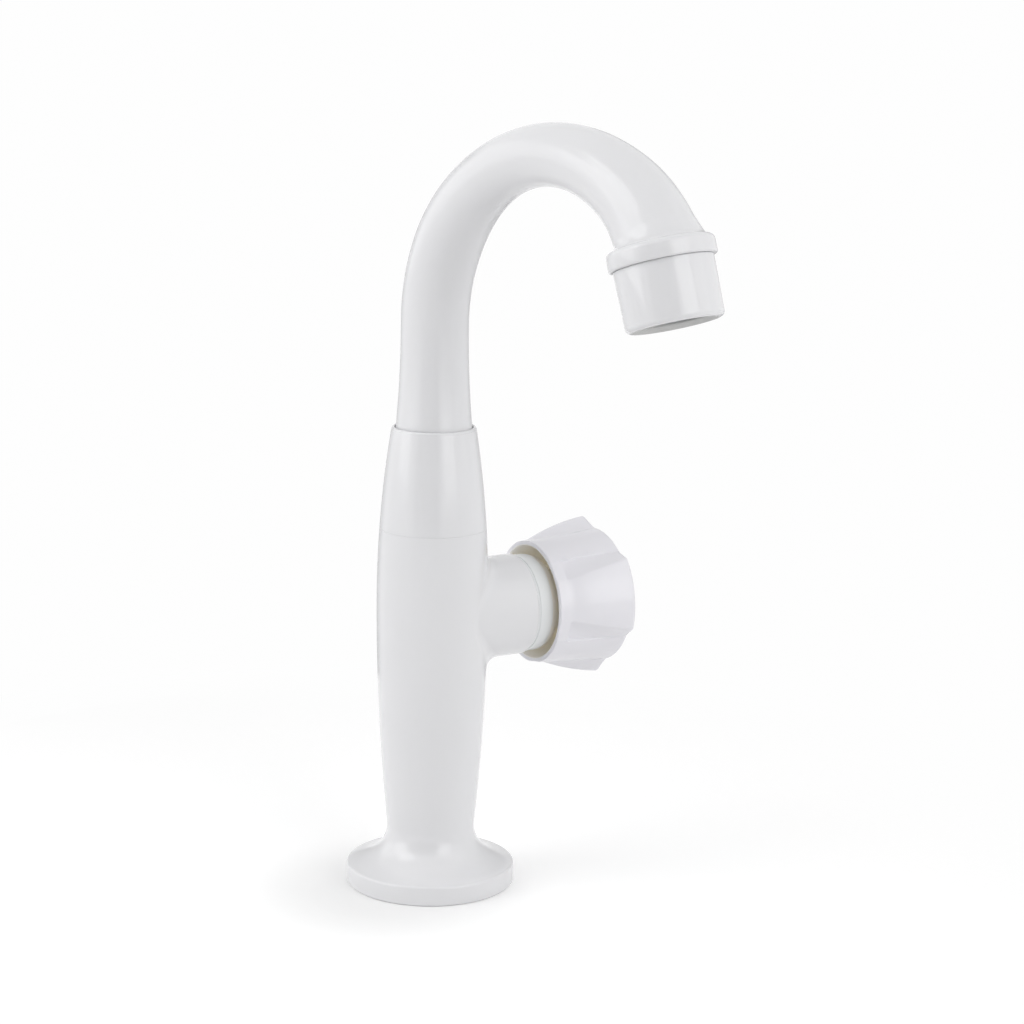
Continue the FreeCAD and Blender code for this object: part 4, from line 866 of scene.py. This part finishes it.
# 1 for what the camera, a reflection or a look through glass sees, 0 for what only lights: the largest of the three
def seenDirectly(tree):
    path = addNode(tree, "ShaderNodeLightPath")
    either = addNode(tree, "ShaderNodeMath", {"operation": "MAXIMUM"},
                     links={0: path.outputs["Is Camera Ray"], 1: path.outputs["Is Glossy Ray"]})
    return addNode(tree, "ShaderNodeMath", {"operation": "MAXIMUM"},
                   links={0: either.outputs[0], 1: path.outputs["Is Transmission Ray"]}).outputs[0]


half, drop = studio["floorHalf"], studio["floorDrop"]
floor = stageSheet("studioFloor", [(x, y, -drop) for y in (half, -half) for x in (half, -half)], 2, 2)
floorPaper = bpy.data.materials.new("whiteSweepPaper")
floorPaper.use_nodes = True
tree = floorPaper.node_tree
tree.nodes.clear()
# Matt white paper. What the camera and reflections see has a glow added that grows with the distance from a point a
# little off the foot's middle, and goes over to plain white, so the floor runs into the white behind it. Weakest at the
# foot, the glow paints a soft shadow round the foot on top of the one the lamps cast.
seen = seenDirectly(tree)
ground = addNode(tree, "ShaderNodeTexCoord").outputs["Object"]
# fibres 1.1 mm long
fibre = addNode(tree, "ShaderNodeTexNoise", values={"Scale": 900.0, "Detail": 2.0}, links={"Vector": ground})
paperBump = addNode(tree, "ShaderNodeBump", values={"Strength": 0.2, "Distance": 0.0001},
                    links={"Height": fibre.outputs["Fac"]})
paper = addNode(tree, "ShaderNodeBsdfDiffuse", values={"Color": linear(studio["floorColour"])},
                links={"Normal": paperBump.outputs["Normal"]})
away = addNode(tree, "ShaderNodeVectorMath", {"operation": "DISTANCE"}, {1: studio["paintedShadowMiddle"]}, {0: ground})
near = addNode(tree, "ShaderNodeMapRange", {"interpolation_type": "SMOOTHSTEP"}, {
    "From Min": studio["glowStart"], "From Max": studio["glowEnd"],
    "To Min": studio["footGlow"], "To Max": studio["floorGlow"]}, {"Value": away.outputs["Value"]})
far = addNode(tree, "ShaderNodeMapRange", {"interpolation_type": "SMOOTHSTEP"}, {
    "From Min": studio["whiteStart"], "From Max": studio["whiteEnd"]}, {"Value": away.outputs["Value"]})
glowLevel = addNode(tree, "ShaderNodeMath", {"operation": "MULTIPLY"}, links={0: seen, 1: near.outputs["Result"]})
whiteShare = addNode(tree, "ShaderNodeMath", {"operation": "MULTIPLY"}, links={0: seen, 1: far.outputs["Result"]})
glow = addNode(tree, "ShaderNodeEmission", values={"Color": (1, 1, 1, 1)}, links={"Strength": glowLevel.outputs[0]})
white = addNode(tree, "ShaderNodeEmission", values={"Color": (1, 1, 1, 1), "Strength": studio["white"]})
both = addNode(tree, "ShaderNodeAddShader", links={0: paper.outputs["BSDF"], 1: glow.outputs["Emission"]})
sweep = addNode(tree, "ShaderNodeMixShader", links={
    0: whiteShare.outputs[0], 1: both.outputs["Shader"], 2: white.outputs["Emission"]})
addNode(tree, "ShaderNodeOutputMaterial", links={"Surface": sweep.outputs["Shader"]})
floor.data.materials.append(floorPaper)

# Cloths that the camera doesn't see. A dark one hangs round the camera, from its left to a little right of it, and
# puts the soft dark band down the middle of the barrel and the leg. Two small grey flags behind the tap dim its white
# edges. Each post stands at distance (toCamera cos azimuth + level sin azimuth).
toCamera = np.array([-math.sin(heading), -math.cos(heading), 0.0])
for name, colour, azimuthFrom, azimuthTo, distance, height in studio["cloths"]:
    posts = np.radians(np.linspace(azimuthFrom, azimuthTo, studio["clothPosts"]))[:, None]
    hem = distance * (np.cos(posts) * toCamera + np.sin(posts) * level) + np.array([0, 0, studio["clothLift"]])
    corners = np.vstack([hem, hem + np.array([0, 0, height])])
    cloth = stageSheet(name, corners.tolist(), 2, len(posts))
    cloth.visible_camera = False
    felt = bpy.data.materials.new(name + "Felt")
    felt.use_nodes = True
    shader = felt.node_tree.nodes["Principled BSDF"]
    shader.inputs["Base Color"].default_value = linear(colour)
    shader.inputs["Roughness"].default_value = 0.9
    cloth.data.materials.append(felt)

# Softboxes that face the middle of the tap, each in the direction that its azimuth and elevation give.
for name, azimuth, elevation, distance, width, height, watts in studio["lamps"]:
    lamp = bpy.data.lights.new(name, "AREA")
    lamp.shape = "RECTANGLE"
    lamp.size, lamp.size_y, lamp.energy = width, height, watts
    turn, rise = math.radians(azimuth), math.radians(elevation)
    outward = toCamera * math.cos(turn) + level * math.sin(turn)
    direction = outward * math.cos(rise) + np.array([0, 0, math.sin(rise)])
    sideways = np.cross([0, 0, 1], direction)
    sideways /= np.linalg.norm(sideways)
    holder = bpy.data.objects.new(name, lamp)
    scene.collection.objects.link(holder)
    spot = direction * distance + np.array([0, 0, studio["lampAim"]])
    holder.matrix_world = poseMatrix(sideways, np.cross(direction, sideways), direction, spot)

# The world is a plain white tent: a low even light, and full white where it is seen.
world = bpy.data.worlds.new("whiteTent")
scene.world = world
world.use_nodes = True
tree = world.node_tree
tree.nodes.clear()
tent = addNode(tree, "ShaderNodeBackground", values={"Color": (1, 1, 1, 1), "Strength": studio["worldLight"]})
white = addNode(tree, "ShaderNodeBackground", values={"Color": (1, 1, 1, 1), "Strength": studio["white"]})
mixed = addNode(tree, "ShaderNodeMixShader", links={
    0: seenDirectly(tree), 1: tent.outputs["Background"], 2: white.outputs["Background"]})
addNode(tree, "ShaderNodeOutputWorld", links={"Surface": mixed.outputs["Shader"]})
scene.view_settings.view_transform = "Standard"
print("camera, floor and light set")
